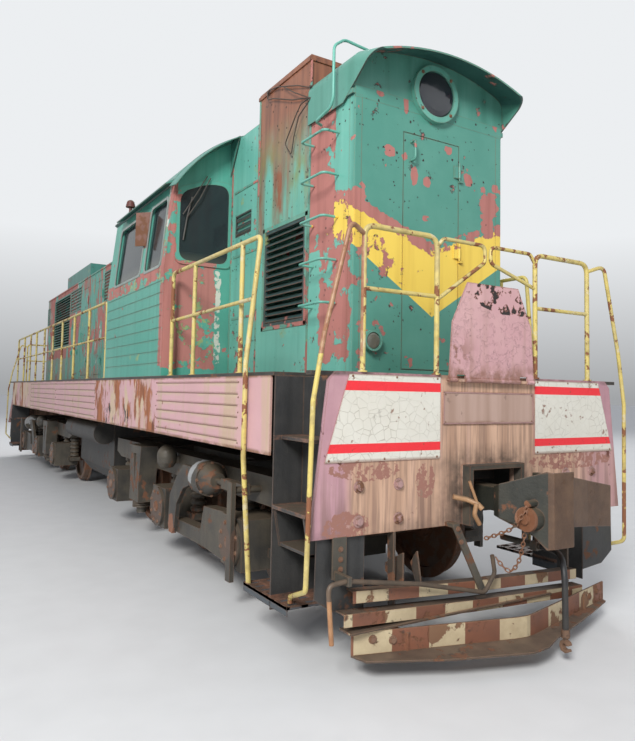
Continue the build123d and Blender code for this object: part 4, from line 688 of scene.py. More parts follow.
# End beams: plate painted pink, left as paint only at its corners. Rain has washed tan and brown streaks
# down its middle, and it carries white crazed warning panels with red stripes and a bare board.
def end_material():
    material, tree, shader = new_material("end_plate_paint")
    x, y, z = end_place(tree)
    place = object_place(tree)
    across = math_node(tree, "ABSOLUTE", y)
    fade = flaked(tree, 3.0, 0.42, 0.25, 1.0)
    base = lay(tree, fade, colour(0.42, 0.225, 0.26), colour(0.53, 0.31, 0.33))
    # Washed zone: all of the lower plate inside the left corner, and the strip between the panels.
    lower = part_of(tree, ramp(tree, y, -1.33, -1.25), ramp(tree, z, 1.44, 1.38))
    lower = part_of(tree, lower, ramp(tree, y, 1.25, 0.95, 0.35, 1.0))
    strip = ramp(tree, across, 0.56, 0.47)
    washed = larger(tree, lower, strip)
    streaks = streaked(tree, 9.0, 0.36, 0.30, 2.0)
    fine_streaks = streaked(tree, 34.0, 0.46, 0.16, 5.0)
    tan = lay(tree, streaks, colour(0.66, 0.430, 0.290), colour(0.43, 0.265, 0.170))
    tan = tinted(tree, tan, fine_streaks, 0.5, colour(0.16, 0.098, 0.064))
    cleaner = streaked(tree, 6.0, 0.55, 0.2, 9.0)
    tan = tinted(tree, tan, cleaner, 0.5, colour(0.50, 0.33, 0.30))
    base = tinted(tree, base, washed, 0.93, tan)
    lower_runs = streaked(tree, 16.0, 0.50, 0.12, 7.0)
    base = lay(tree, part_of(tree, part_of(tree, lower_runs, 0.6), ramp(tree, z, 1.5, 1.0, 0.15, 1.0)), base,
               colour(0.19, 0.11, 0.085))
    # Darker towards the coupler window, along the top edge and along the bottom.
    window = part_of(tree, ramp(tree, across, 0.62, 0.30), ramp(tree, z, 1.50, 1.36))
    rough = flaked(tree, 10.0, 0.40, 0.22, 4.0)
    low_edge = ramp(tree, z, 1.00, 0.91)
    top_edge = part_of(tree, ramp(tree, z, 1.955, 1.975), less_than(tree, z, 2.02))
    grime = larger(tree, larger(tree, window, part_of(tree, low_edge, 0.55)), top_edge)
    base = lay(tree, part_of(tree, part_of(tree, grime, rough), 0.9), base, colour(0.060, 0.046, 0.036))
    # Paint lifted to red-brown scale in three places on the left and one on the right.
    scale_mask = flaked(tree, 22.0, 0.47, 0.03, 8.0, Broad=0.25)
    turned = put(tree, "CombineXYZ", {0: x, 1: y, 2: z}).outputs[0]
    for centre, size in (((8.0, -0.63, 1.24), (0.5, 0.09, 0.12)), ((8.0, -1.29, 0.97), (0.5, 0.19, 0.10)),
                         ((8.0, -1.15, 1.33), (0.5, 0.28, 0.07)), ((8.0, 0.95, 1.33), (0.5, 0.5, 0.07))):
        spot = blotted(tree, turned, centre, size, 0.9)
        base = tinted(tree, base, spot, scale_mask, colour(0.31, 0.145, 0.110))
    chips = flaked(tree, 15.0, 0.635, 0.02, 6.0)
    base = lay(tree, chips, base, colour(0.15, 0.055, 0.04))
    # White panels stand proud of the plate, so they are picked out by their distance along the track.
    white_mask = part_of(tree, between(tree, x, 8.003, 8.0075), more_than(tree, across, 0.495))
    crazed = put(tree, "TexVoronoi", {"Vector": place, "Scale": 15.0, "Randomness": 1.0},
                 feature="DISTANCE_TO_EDGE").outputs[0]
    crack = ramp(tree, crazed, 0.022, 0.0)
    spread = flaked(tree, 4.0, 0.42, 0.15, 15.0)
    white_dirt = flaked(tree, 2.5, 0.40, 0.35, 16.0)
    white = lay(tree, white_dirt, colour(0.70, 0.68, 0.60), colour(0.62, 0.585, 0.49))
    white = tinted(tree, white, crack, spread, colour(0.30, 0.25, 0.19))
    for stripe_low, stripe_high in ((1.868, 1.933), (1.452, 1.512)):
        stripe = between(tree, z, stripe_low, stripe_high)
        white = lay(tree, stripe, white, colour(0.80, 0.030, 0.040))
    margin = larger(tree, ramp(tree, z, 1.412, 1.398), ramp(tree, z, 1.966, 1.978))
    nicks = flaked(tree, 24.0, 0.60, 0.03, 18.0)
    white = lay(tree, larger(tree, part_of(tree, margin, 0.55), part_of(tree, nicks, 0.8)), white, bare_rust)
    base = lay(tree, white_mask, base, white)
    # The bare board is tan with dirty edges.
    board = part_of(tree, between(tree, x, 8.0085, 8.012), less_than(tree, across, 0.48))
    board_tone = lay(tree, streaks, colour(0.47, 0.325, 0.265), colour(0.36, 0.235, 0.18))
    board_edge = larger(tree, ramp(tree, across, 0.452, 0.470), ramp(tree, z, 1.665, 1.645))
    board_tone = lay(tree, part_of(tree, part_of(tree, board_edge, rough), 0.8), board_tone,
                     colour(0.20, 0.10, 0.06))
    base = lay(tree, board, base, board_tone)
    # Steelwork in front of the plate is dark; the rod's handle is orange with rust.
    steel_tone = lay(tree, rough, colour(0.034, 0.033, 0.027), colour(0.085, 0.066, 0.046))
    steel = part_of(tree, more_than(tree, x, 8.013), less_than(tree, z, 1.46))
    base = lay(tree, steel, base, steel_tone)
    lifting = more_than(tree, x, 8.118)
    base = tinted(tree, base, lifting, 0.8,
                  lay(tree, rough, colour(0.085, 0.062, 0.043), colour(0.15, 0.10, 0.065)))
    orange = lay(tree, rough, colour(0.44, 0.24, 0.115), colour(0.30, 0.14, 0.065))
    handle = part_of(tree, less_than(tree, y, -1.40), less_than(tree, z, 0.56))
    base = lay(tree, handle, base, orange)
    base = worn_edges(tree, base, 0.6, bare_rust, 0.015)
    lifted = larger(tree, chips, part_of(tree, crack, part_of(tree, white_mask, 0.3)))
    height = math_node(tree, "SUBTRACT", part_of(tree, rough, 0.25), lifted)
    finish_surface(tree, shader, base, height, 0.004, larger(tree, chips, washed), (0.5, 0.85))
    return material


end_paint = end_material()
dress(end_paint, "end_beam_front", "end_beam_rear")

# Fittings of the end beam, all of steel: big bolts of the buffer beam, screws round the panels and the
# board, the board's thin raised rim, and the bent uncoupling rod with its hanger. The brake pipe's cock
# and bracket, the flat stay and the loose lock pieces are bolted or hung here too.
pink_bolt = grimy_material("pink_bolt_heads", colour(0.34, 0.20, 0.19), colour(0.45, 0.28, 0.26), 0.55, 23.0)
lock_rust = grimy_material("lock_rust", colour(0.34, 0.185, 0.088), colour(0.47, 0.285, 0.150), 0.64, 53.0)
fitting_grey = grimy_material("fitting_grey", colour(0.050, 0.047, 0.038), colour(0.105, 0.090, 0.066), 0.56,
                              51.0)
end_face = 8.0
panel_face = 8.006
big_bolts = ((1.206, 1.226), (0.873, 1.228), (1.207, 0.998), (0.871, 0.994))
panel_screws = ((1.27, 1.965), (0.90, 1.965), (0.53, 1.965), (1.45, 1.405), (1.00, 1.405), (0.53, 1.405))
board_screws = ((0.455, 1.855), (0.455, 1.650))
board_face = 8.010
small_bolts = ((8.0, -1.342, 0.830), (8.0, -1.342, 0.765), (8.0, -1.342, 0.702), (8.094, -0.405, 0.895),
               (8.094, -0.372, 0.800))
rim_w = 0.011
board_y = 0.475
board_low = 1.636
board_high = 1.873
# Rim bars round the bare board, as ranges of y and z: foot, top and the two uprights between them.
rim_bars = ((-board_y, board_y, board_low, board_low + rim_w),
            (-board_y, board_y, board_high - rim_w, board_high), (-board_y, -board_y + rim_w, 1.64, 1.87),
            (board_y - rim_w, board_y, 1.64, 1.87))
# Corners of the rod's hanger and arm, the pipe's bracket and clamp, the cock's handle and the stay's foot.
fitting_bars = (((7.988, -1.405, 0.639), (8.002, -1.295, 0.909)),
                ((8.000, -1.390, 0.634), (8.165, -1.360, 0.694)),
                ((7.985, 0.368, 0.664), (7.997, 0.432, 0.914)),
                ((8.070, 0.366, 0.666), (8.130, 0.434, 0.734)),
                ((8.088, 0.390, 0.750), (8.112, 0.520, 0.760)),
                ((8.001, -0.448, 0.905), (8.094, -0.388, 0.935)))
stay_side = ((-0.448, 0.905), (-0.388, 0.920), (-0.130, 0.445), (-0.190, 0.432))
rod_route = ((8.140, -1.490, 0.290), (8.140, -1.522, 0.655), (8.140, -1.380, 0.664), (8.140, -0.790, 0.571),
             (8.140, -0.185, 0.432), (8.140, -0.085, 0.560), (8.140, -0.112, 0.690))
# Loose lock pieces: route, radius and bend of each.
lock_routes = ((((8.060, -0.420, 1.120), (8.110, -0.330, 1.100), (8.165, -0.285, 1.075),
                 (8.190, -0.262, 1.040)), 0.020, 0.050),
               (((8.152, -0.352, 1.238), (8.165, -0.290, 1.085)), 0.011, 0.0),
               (((8.170, -0.300, 1.080), (8.160, -0.310, 1.000), (8.150, -0.250, 0.925)), 0.017, 0.050))


def eased_bend(first, corner, last):
    """Seven points of the short curve that eases a corner."""
    return [first.lerp(corner, step / 6).lerp(corner.lerp(last, step / 6), step / 6) for step in range(7)]


def bar_piece(name, routes, body, material, way=1):
    """Round bars with eased bends as one piece; each route has its points, radius and bend."""
    bars = bpy.data.curves.new(name, "CURVE")
    bars.dimensions = "3D"
    bars.bevel_depth = 1.0
    bars.bevel_resolution = 3
    bars.use_fill_caps = True
    for points, radius, bend in routes:
        corners = [Vector((way * x, way * y, z)) for x, y, z in points]
        path = [corners[0]]
        for before, corner, after in zip(corners, corners[1:], corners[2:]):
            back = before - corner
            onward = after - corner
            reach = min(bend / math.tan(max(back.angle(onward), 0.1) / 2), 0.48 * back.length,
                        0.48 * onward.length)
            first = corner + back.normalized() * reach
            last = corner + onward.normalized() * reach
            path += eased_bend(first, corner, last)
        path.append(corners[-1])
        bar = bars.splines.new("POLY")
        bar.points.add(len(path) - 1)
        for spot, point in zip(bar.points, path):
            spot.co = (*point, 1.0)
            spot.radius = radius
    bars.materials.append(material)
    piece = shown_object(name, bars)
    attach(piece, body)
    return piece


for end in ("front", "rear"):
    heads = bmesh.new()
    screws = bmesh.new()
    for side in (-1, 1):
        for y, z in big_bolts:
            add_bolt(heads, (end_face, side * y, z), (1, 0, 0), 0.030, 0.026)
        for y, z in panel_screws:
            add_rivet(screws, (panel_face, side * y, z), (1, 0, 0), 0.009)
        for y, z in board_screws:
            add_rivet(screws, (board_face, side * y, z), (1, 0, 0), 0.009)
    for x, y, z in small_bolts:
        add_bolt(screws, (x, y, z), (1, 0, 0), 0.014, 0.014)
    for y0, y1, z0, z1 in rim_bars:
        add_bar(heads, (board_face - 0.001, y0, z0), (board_face + 0.0035, y1, z1), 0.0015)
    # Rod's hanger, brake pipe bracket, its cock and the flat stay that slants down to the boards.
    fittings = bmesh.new()
    for low, high in fitting_bars:
        add_bar(fittings, low, high, 0.002)
    add_round(fittings, (7.750, 0.400, 0.700), (8.150, 0.400, 0.700), 0.024)
    add_round(fittings, (8.100, 0.400, 0.730), (8.100, 0.400, 0.762), 0.012)
    add_plate(fittings, stay_side, "X", 8.079, 8.094, 0.002)
    for bm in (heads, screws, fittings):
        turned_end(bm, end)
    way = 1 if end == "front" else -1
    bar_piece("uncoupling_rod_" + end, [(rod_route, 0.016, 0.050)], "root", end_paint, way)
    bar_piece("lock_pieces_" + end, lock_routes, "root", lock_rust, way)
    finish_piece("end_fittings_" + end, fittings, "root", fitting_grey)
    finish_piece("end_bolts_" + end, heads, "root", pink_bolt)
    finish_piece("end_screws_" + end, screws, "root", rusty_steel)


# Gangway plates: pressed steel plate in pink, hinged along its foot on the end beam. Its paint is blown
# off in black-edged craters near the top.
def gangway_material():
    material, tree, shader = new_material("gangway_pink")
    x, y, z = end_place(tree)
    fade = flaked(tree, 3.0, 0.42, 0.25, 3.0)
    base = lay(tree, fade, colour(0.56, 0.32, 0.33), colour(0.62, 0.385, 0.37))
    streaks = streaked(tree, 12.0, 0.54, 0.15, 8.0)
    base = tinted(tree, base, streaks, 0.4, colour(0.36, 0.22, 0.17))
    top = part_of(tree, ramp(tree, z, 2.38, 2.60), ramp(tree, y, -0.35, 0.10, 0.35, 1.0))
    holes = flaked(tree, 15.0, 0.53, 0.01, 12.0, Broad=0.3)
    rim = flaked(tree, 15.0, 0.51, 0.01, 12.0, Broad=0.3)
    base = lay(tree, part_of(tree, rim, more_than(tree, top, 0.45)), base, colour(0.20, 0.07, 0.04))
    base = lay(tree, part_of(tree, holes, more_than(tree, top, 0.45)), base, colour(0.030, 0.024, 0.022))
    foot = part_of(tree, ramp(tree, z, 2.12, 2.02), flaked(tree, 9.0, 0.42, 0.1, 2.0))
    left_low = part_of(tree, ramp(tree, y, -0.15, -0.42), ramp(tree, z, 2.35, 2.2))
    scab = flaked(tree, 11.0, 0.45, 0.04, 5.0)
    base = lay(tree, larger(tree, part_of(tree, foot, 0.8), part_of(tree, left_low, scab)), base,
               colour(0.24, 0.115, 0.075))
    base = worn_edges(tree, base, 0.8, bare_rust, 0.02)
    height = rest_of(tree, holes)
    finish_surface(tree, shader, base, height, 0.003, holes, (0.5, 0.88))
    return material


dress(gangway_material(), "gangway_plate_front", "gangway_plate_rear")


# Rail guard: boards and plough plate painted in cream and red-brown blocks, weathered to rust. The wide
# flange and the hangers are dark with dirt.
def guard_material():
    material, tree, shader = new_material("guard_blocks")
    x, y, z = end_place(tree)
    block_len = 0.2615
    lower_board = part_of(tree, between(tree, x, 8.0905, 8.102), more_than(tree, z, 0.31))
    start = math_node(tree, "MULTIPLY_ADD", lower_board, 0.302 - 2 * block_len, 1.268 + 8 * block_len)
    phase = math_node(tree, "FRACT",
                      math_node(tree, "DIVIDE", math_node(tree, "ADD", y, start), 2 * block_len))
    cream = less_than(tree, phase, 0.5)
    dirt = flaked(tree, 7.0, 0.42, 0.25, 9.0)
    red_tone = lay(tree, dirt, colour(0.22, 0.085, 0.045), colour(0.15, 0.065, 0.04))
    cream_tone = lay(tree, dirt, colour(0.56, 0.46, 0.29), colour(0.40, 0.31, 0.19))
    base = lay(tree, cream, red_tone, cream_tone)
    plates = larger(tree, between(tree, x, 8.0695, 8.081), between(tree, x, 8.0895, 8.102))
    plates = part_of(tree, plates, between(tree, z, 0.24, 0.60))
    plough = part_of(tree, more_than(tree, z, 0.160), less_than(tree, z, 0.31))
    painted = larger(tree, plates, plough)
    dark = lay(tree, dirt, colour(0.040, 0.034, 0.028), colour(0.095, 0.066, 0.045))
    base = lay(tree, painted, dark, base)
    normal = put(tree, "SeparateXYZ", {0: put(tree, "NewGeometry").outputs["Normal"]}).outputs
    ledge = more_than(tree, normal[2], 0.5)
    base = lay(tree, ledge, base, lay(tree, dirt, colour(0.085, 0.060, 0.043), colour(0.16, 0.11, 0.075)))
    rust = flaked(tree, 8.0, 0.535, 0.02, 3.0)
    base = tinted(tree, base, rust, 0.9, colour(0.16, 0.070, 0.035))
    flecks = flaked(tree, 30.0, 0.60, 0.03, 6.0)
    base = tinted(tree, base, flecks, 0.7, colour(0.055, 0.040, 0.030))
    base = worn_edges(tree, base, 0.8, colour(0.27, 0.14, 0.075), 0.012)
    finish_surface(tree, shader, base, rest_of(tree, rust), 0.003, rust, (0.6, 0.9))
    return material


guard_paint = guard_material()
plough_tip_x = 8.366
plough_foot_x = 8.054
plough_end = 1.279
plough_z0 = 0.143
plough_z1 = 0.303
plough_t = 0.014
plough_back = ((plough_foot_x - plough_t, plough_end), (plough_tip_x - 0.012 - plough_t, 0.080),
               (plough_tip_x - plough_t, 0.0), (plough_tip_x - 0.012 - plough_t, -0.080))
# The plough from above: an upright plate, bent at the tip, on a wide flange.
plough_plan = ((plough_foot_x, -plough_end), (plough_tip_x - 0.012, -0.090), (plough_tip_x, 0.0),
               (plough_tip_x - 0.012, 0.090), (plough_foot_x, plough_end), *plough_back,
               (plough_foot_x - plough_t, -plough_end))
flange_plan = ((plough_foot_x - plough_t, -plough_end), (plough_foot_x + 0.115, -plough_end + 0.035),
               (plough_foot_x + 0.345, -0.745), (plough_tip_x + 0.217, -0.175), (plough_tip_x + 0.195, 0.0),
               (plough_tip_x + 0.104, 0.200), (plough_foot_x + 0.250, 0.700),
               (plough_foot_x + 0.040, plough_end - 0.020), *plough_back)
hanger_y = 0.900
hanger_side = ((7.930, 0.904), (8.000, 0.904), (8.000, 0.273), (8.160, 0.273), (8.160, 0.148),
               (7.950, 0.148), (7.930, 0.784))
# Gussets seen from the side, with the distance of each from the middle.
gussets = ((((7.990, 0.545), (8.050, 0.545), (8.050, 0.765), (8.040, 0.765), (7.850, 0.660), (7.850, 0.600)),
            -0.866),
           (((7.990, 0.538), (8.050, 0.538), (8.004, 0.750), (7.996, 0.750), (7.930, 0.660)), -0.706))
board_sag = 0.012
# Boards: face, depth behind it, left end, right end, top on the left, fall to the right, height.
board_rows = ((8.080, 0.085, -1.290, 0.900, 0.573, 0.115, 0.078),
              (8.100, 0.105, -1.370, 0.950, 0.443, 0.115, 0.082))

for end in ("front", "rear"):
    bm = bmesh.new()
    for y in (-hanger_y, hanger_y):
        add_plate(bm, hanger_side, "Y", y - 0.010, y + 0.010, 0.002)
    for face_x, depth, left_y, right_y, top_z, fall, height in board_rows:
        middle_y = (left_y + right_y) / 2
        top = ((left_y, top_z), (middle_y, top_z - fall / 2 - board_sag), (right_y, top_z - fall))
        low = [(y, z - height) for y, z in reversed(top)]
        shelf = [(y, z - 0.010) for y, z in reversed(top)]
        add_plate(bm, [*top, *low], "X", face_x - 0.010, face_x, 0.002)
        add_plate(bm, [*top, *shelf], "X", face_x - depth, face_x - 0.008, 0.002)
    for outline, gusset_y in gussets:
        add_plate(bm, outline, "Y", gusset_y, gusset_y + 0.012, 0.002)
    add_bar(bm, (7.980, -1.330, 0.308), (8.118, 0.560, 0.322), 0.002)
    add_plate(bm, plough_plan, "Z", plough_z0 + plough_t, plough_z1, 0.002)
    add_plate(bm, flange_plan, "Z", plough_z0, plough_z0 + plough_t, 0.003)
    turned_end(bm, end)
    guard = finish_piece("rail_guard_plates_" + end, bm, "root", guard_paint)
    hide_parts("rail_guard_" + end)

# Plough bolts: steel hexagon heads that hold the plough plate on its frame, two by each outer end of the
# plate, brown with rust.
plough_bolts = ((8.089, 1.139, 0.250), (8.124, 1.000, 0.233))
for end in ("front", "rear"):
    bm = bmesh.new()
    for x, y, z in plough_bolts:
        for side in (-1, 1):
            add_bolt(bm, (x, side * y, z), (0.970, side * 0.243, 0), 0.021, 0.016)
    turned_end(bm, end)
    finish_piece("plough_bolts_" + end, bm, "root", rusty_steel)


# Corner steps: dark sheet steel wells welded under the deck, with a pierced grating as the lowest tread.
# The grating and the shelves are brown with rust.
def step_marks(tree, base):
    """Rust on the grating and the shelves, and the grating's grey edge."""
    x, y, z = end_place(tree)
    tone = flaked(tree, 16.0, 0.44, 0.15, 1.0)
    tread = lay(tree, tone, colour(0.085, 0.052, 0.038), colour(0.20, 0.095, 0.06))
    low = part_of(tree, between(tree, z, 0.39, 0.42), less_than(tree, x, 7.70))
    base = tinted(tree, base, low, 0.9, tread)
    edge = part_of(tree, between(tree, z, 0.33, 0.392), less_than(tree, x, 7.70))
    base = tinted(tree, base, edge, 0.7, colour(0.070, 0.085, 0.098))
    shelves = larger(tree, between(tree, z, 1.018, 1.052), between(tree, z, 1.506, 1.540))
    return lay(tree, part_of(tree, shelves, tone), base, colour(0.17, 0.09, 0.06))


step_paint = grimy_material("step_dark", colour(0.026, 0.027, 0.028), colour(0.056, 0.054, 0.050), 0.60, 8.0,
                            step_marks)
well_x0 = 7.440
well_x1 = 7.900
well_y = 1.130
step_out = 1.560
sheet_t = 0.012
grate_x0 = 6.990
grate_x1 = 7.680
grate_z = 0.378
tread_t = 0.026
shelf_z0 = 1.022
shelf_z1 = 1.510
deck_under = 1.966
slot_columns = 7
slot_rows = 3
toe_near = well_y + 0.005
toe_top = shelf_z0 + 0.005
toe_foot = shelf_z0 - 0.262


def side_bar(bm, side, x0, x1, near, far, z0, z1, edge=0.002):
    """Bar on one side of the locomotive, from near to far out from its middle."""
    low_y, high_y = sorted((side * near, side * far))
    add_bar(bm, (x0, low_y, z0), (x1, high_y, z1), edge)


for end in ("front", "rear"):
    bm = bmesh.new()
    for side in (-1, 1):
        side_bar(bm, side, well_x0 - sheet_t, well_x0, well_y, step_out, grate_z - 0.060, deck_under)
        side_bar(bm, side, well_x0 - sheet_t, 7.960, well_y, well_y + sheet_t, grate_z - 0.060, deck_under)
        # Grating: bars along and across, inside a deep edge.
        for column in range(slot_columns + 1):
            x = grate_x0 + (grate_x1 - grate_x0) * column / slot_columns
            side_bar(bm, side, max(x - 0.020, grate_x0), min(x + 0.020, grate_x1), well_y, step_out, grate_z,
                     grate_z + tread_t)
        for row in range(slot_rows + 1):
            y = well_y + (step_out - well_y) * row / slot_rows
            side_bar(bm, side, grate_x0, grate_x1, max(y - 0.028, well_y), min(y + 0.028, step_out),
                     grate_z + 0.001, grate_z + tread_t - 0.001)
        side_bar(bm, side, grate_x0, grate_x1, step_out - sheet_t, step_out, grate_z - 0.040,
                 grate_z + tread_t)
        # Two shelves with risers behind them, and the hollow toe box under the lower one.
        side_bar(bm, side, well_x0, well_x1, well_y, step_out, shelf_z0, shelf_z0 + tread_t)
        side_bar(bm, side, well_x0, well_x1, well_y, step_out - 0.060, shelf_z1, shelf_z1 + tread_t)
        side_bar(bm, side, well_x0, well_x1, step_out - 0.250, step_out - 0.238, shelf_z0, deck_under)
        for x0, x1 in ((well_x0 - 0.004, well_x0 + 0.020), (well_x1 - 0.052, well_x1 - 0.030)):
            add_plate(bm, ((side * toe_near, toe_top), (side * (step_out - 0.012), toe_top),
                           (side * (step_out - 0.060), toe_foot), (side * toe_near, toe_foot)), "X", x0, x1)
        side_bar(bm, side, well_x0, well_x1 - 0.030, toe_near, step_out - 0.060, toe_foot, toe_foot + 0.022)
        add_plate(bm,
                  ((side * well_y, 0.400), (side * 1.380, 0.425), (side * 1.520, 0.520),
                   (side * 1.505, 1.250), (side * well_y, 1.250)), "X", 7.960, 7.968, 0.002)
    turned_end(bm, end)
    wells = finish_piece("step_wells_" + end, bm, "root", step_paint)
    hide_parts("steps_" + end)

# Side skirts: pressed sheets in faded pink with cream and tan along their ribs. The two plain lengths
# are rusted through the paint, and every lower lip is brown.
inside, given, result = new_group("inside",
                                  [("X low", -99.0), ("X high", 99.0), ("Y low", -99.0), ("Y high", 99.0),
                                   ("Z low", -99.0), ("Z high", 99.0), ("Ragged", 0.03)], ["Mask"])
place = object_place(inside)
moved = shaken(inside, place, given["Ragged"], {"Vector": place, "Scale": 9.0, "Detail": 4.0})
axes = put(inside, "SeparateXYZ", {0: moved}).outputs
mask = None
for number, axis in enumerate("XYZ"):
    both = between(inside, axes[number], given[axis + " low"], given[axis + " high"])
    mask = both if mask is None else math_node(inside, "MULTIPLY", mask, both)
inside.links.new(mask, result["Mask"])


def in_box(tree, **limits):
    """Mask of a box with ragged sides, from its limits."""
    return use(tree, inside, **limits)["Mask"]


skirt_low = 1.392
skirt_high = 1.966
ribbed_runs = ((4.76, 6.83), (-1.14, 1.93), (-4.12, -1.18))
plain_runs = ((1.97, 4.72), (-7.27, -4.16))


def skirt_material():
    material, tree, shader = new_material("skirt_pink")
    x, y, z = put(tree, "SeparateXYZ", {0: object_place(tree)}).outputs
    fade = flaked(tree, 2.0, 0.40, 0.25, 1.0)
    base = lay(tree, fade, colour(0.62, 0.365, 0.385), colour(0.56, 0.335, 0.335))
    tan = streaked(tree, 6.0, 0.50, 0.16, 2.0)
    base = tinted(tree, base, tan, 0.8, colour(0.50, 0.37, 0.24))
    # Cream and tan along each rib of the ribbed lengths, with a darker line just above it.
    rows = math_node(tree, "DIVIDE", math_node(tree, "SUBTRACT", z, skirt_low), skirt_high - skirt_low)
    phase = math_node(tree, "FRACT", math_node(tree, "DIVIDE", math_node(tree, "ADD", rows, 0.04), 0.16))
    ribbed = None
    for low, high in ribbed_runs:
        run = between(tree, x, low, high)
        ribbed = run if ribbed is None else larger(tree, ribbed, run)
    near_rib = part_of(tree, ramp(tree, phase, 0.55, 0.9), ribbed)
    cream_noise = flaked(tree, 7.0, 0.42, 0.12, 11.0)
    base = lay(tree, part_of(tree, part_of(tree, near_rib, cream_noise), 0.85), base,
               colour(0.56, 0.44, 0.29))
    line = part_of(tree, between(tree, phase, 0.905, 1.1), ribbed)
    base = tinted(tree, base, line, 0.75, colour(0.13, 0.075, 0.05))
    bad = None
    for low, high in plain_runs:
        run = in_box(tree, X_low=low, X_high=high, Ragged=0.03)
        bad = run if bad is None else larger(tree, bad, run)
    cream = flaked(tree, 4.0, 0.48, 0.03, 13.0, Upright=0.5)
    base = lay(tree, part_of(tree, part_of(tree, cream, bad), 0.85), base, colour(0.60, 0.46, 0.30))
    rust = flaked(tree, 5.0, 0.50, 0.04, 5.0, Upright=0.45)
    some = flaked(tree, 10.0, 0.655, 0.03, 7.0)
    rust_all = larger(tree, part_of(tree, rust, bad), some)
    tone = lay(tree, streaked(tree, 20.0, 0.45, 0.2), colour(0.36, 0.13, 0.055), colour(0.15, 0.055, 0.03))
    base = lay(tree, rust_all, base, tone)
    dark = flaked(tree, 7.0, 0.60, 0.02, 15.0, Upright=0.6)
    base = tinted(tree, base, dark, bad, colour(0.045, 0.032, 0.026))
    lip = larger(tree, ramp(tree, z, 1.425, 1.405), ramp(tree, z, 1.945, 1.962))
    lip_noise = flaked(tree, 9.0, 0.40, 0.12, 17.0)
    base = lay(tree, part_of(tree, part_of(tree, lip, lip_noise), 0.9), base, colour(0.22, 0.115, 0.065))
    base = worn_edges(tree, base, 0.55, bare_rust, 0.02)
    height = rest_of(tree, rust_all)
    finish_surface(tree, shader, base, height, 0.004, rust_all, (0.5, 0.88))
    return material


skirt_paint = skirt_material()
dress(skirt_paint, "skirt_left", "skirt_right")

# Skirt fastenings: steel rivets down the edges of the ribbed sheets, and a lip rolled along the foot of
# every sheet and painted with it.
side_y = 1.575
rivet_low = 1.44
rivet_gap = 0.12
for side, label in ((-1, "left"), (1, "right")):
    bm = bmesh.new()
    for low, high in ribbed_runs:
        for x in (low - 0.012, high + 0.012):
            for number in range(5):
                add_rivet(bm, (x, side * side_y, rivet_low + rivet_gap * number), (0, side, 0), 0.009)
    finish_piece("skirt_rivets_" + label, bm, "root", rusty_steel)
    bm = bmesh.new()
    for low, high in ribbed_runs + plain_runs:
        side_bar(bm, side, low + 0.01, high - 0.01, side_y - 0.028, side_y + 0.003, skirt_low + 0.001,
                 skirt_low + 0.021, 0.004)
    finish_piece("skirt_lip_" + label, bm, "root", skirt_paint)


# Railings: steel tube in pale yellow, rusted through at bends and joints. The left corner handrail has
# lost its paint from its top down to the deck.
def rail_material():
    material, tree, shader = new_material("rail_yellow")
    x, y, z = end_place(tree)
    fade = flaked(tree, 4.0, 0.45, 0.2, 1.0)
    base = lay(tree, fade, colour(0.62, 0.49, 0.14), colour(0.52, 0.44, 0.21))
    grime = flaked(tree, 16.0, 0.48, 0.14, 3.0)
    base = tinted(tree, base, grime, 0.55, colour(0.28, 0.20, 0.085))
    pale = flaked(tree, 22.0, 0.56, 0.05, 8.0)
    base = tinted(tree, base, pale, 0.6, colour(0.60, 0.53, 0.38))
    rust = flaked(tree, 12.0, 0.548, 0.015, 4.0)
    base = lay(tree, rust, base, colour(0.23, 0.09, 0.04))
    bare = part_of(tree, part_of(tree, more_than(tree, x, 7.955), between(tree, z, 2.10, 3.06)),
                   less_than(tree, y, -1.19))
    bare_tone = lay(tree, grime, colour(0.30, 0.135, 0.07), colour(0.42, 0.27, 0.15))
    kept = flaked(tree, 9.0, 0.36, 0.02, 7.0)
    base = tinted(tree, base, bare, kept, bare_tone)
    height = rest_of(tree, rust)
    finish_surface(tree, shader, base, height, 0.002, rust, (0.45, 0.85))
    return material


rail_paint = rail_material()
dress(rail_paint, *[name for name in nodes if name.startswith(("railing_hood", "railing_tower"))])

deck_z = 1.994
end_x = 7.985                # end rails, inside the end plate
corner_x = 8.045             # the corner handrail passes outside the end plate
foot_x = 7.620
end_top = deck_z + 1.015
mid_rail = deck_z + 0.575
gate_in = 0.525
gate_out = 1.180
gate_loops = ((-1, 0.040, 2.548), (1, 0.020, 2.728))      # side, inner end, foot of the slant
tube = 0.020

for end, way in (("front", 1), ("rear", -1)):
    routes = []
    for side in (-1, 1):
        routes.append(([(end_x, side * gate_out, deck_z), (end_x, side * gate_out, end_top),
                        (end_x, side * gate_in, end_top), (end_x, side * gate_in, deck_z)], tube, 0.090))
        routes.append(([(end_x, side * gate_out, mid_rail), (end_x, side * gate_in, mid_rail)], tube - 0.004,
                       0.0))
        for foot_y in (gate_out, gate_in):
            routes.append(([(end_x, side * foot_y, deck_z), (end_x, side * foot_y, deck_z + 0.010)], 0.034,
                           0.0))
        routes.append(([(end_x, side * (gate_out - 0.005), end_top - 0.070),
                        (corner_x, side * 1.330, end_top - 0.010), (corner_x, side * 1.525, deck_z + 0.240),
                        (corner_x, side * 1.600, deck_z - 0.200), (corner_x - 0.020, side * 1.6165, 0.600),
                        (foot_x, side * 1.500, 0.450), (foot_x, side * 1.500, grate_z + tread_t)],
                       tube - 0.003, 0.060))
    for side, loop_in, foot_z in gate_loops:
        routes.append(([(end_x, side * (gate_in - 0.003), end_top - 0.070),
                        (end_x, side * (gate_in - 0.060), end_top), (end_x, side * loop_in, end_top),
                        (end_x, side * loop_in, end_top - 0.130), (end_x, side * (gate_in - 0.003), foot_z)],
                       tube - 0.005, 0.055))
    rails = bar_piece("end_rails_" + end, routes, "root", rail_paint, way)
    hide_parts("railing_end_" + end)

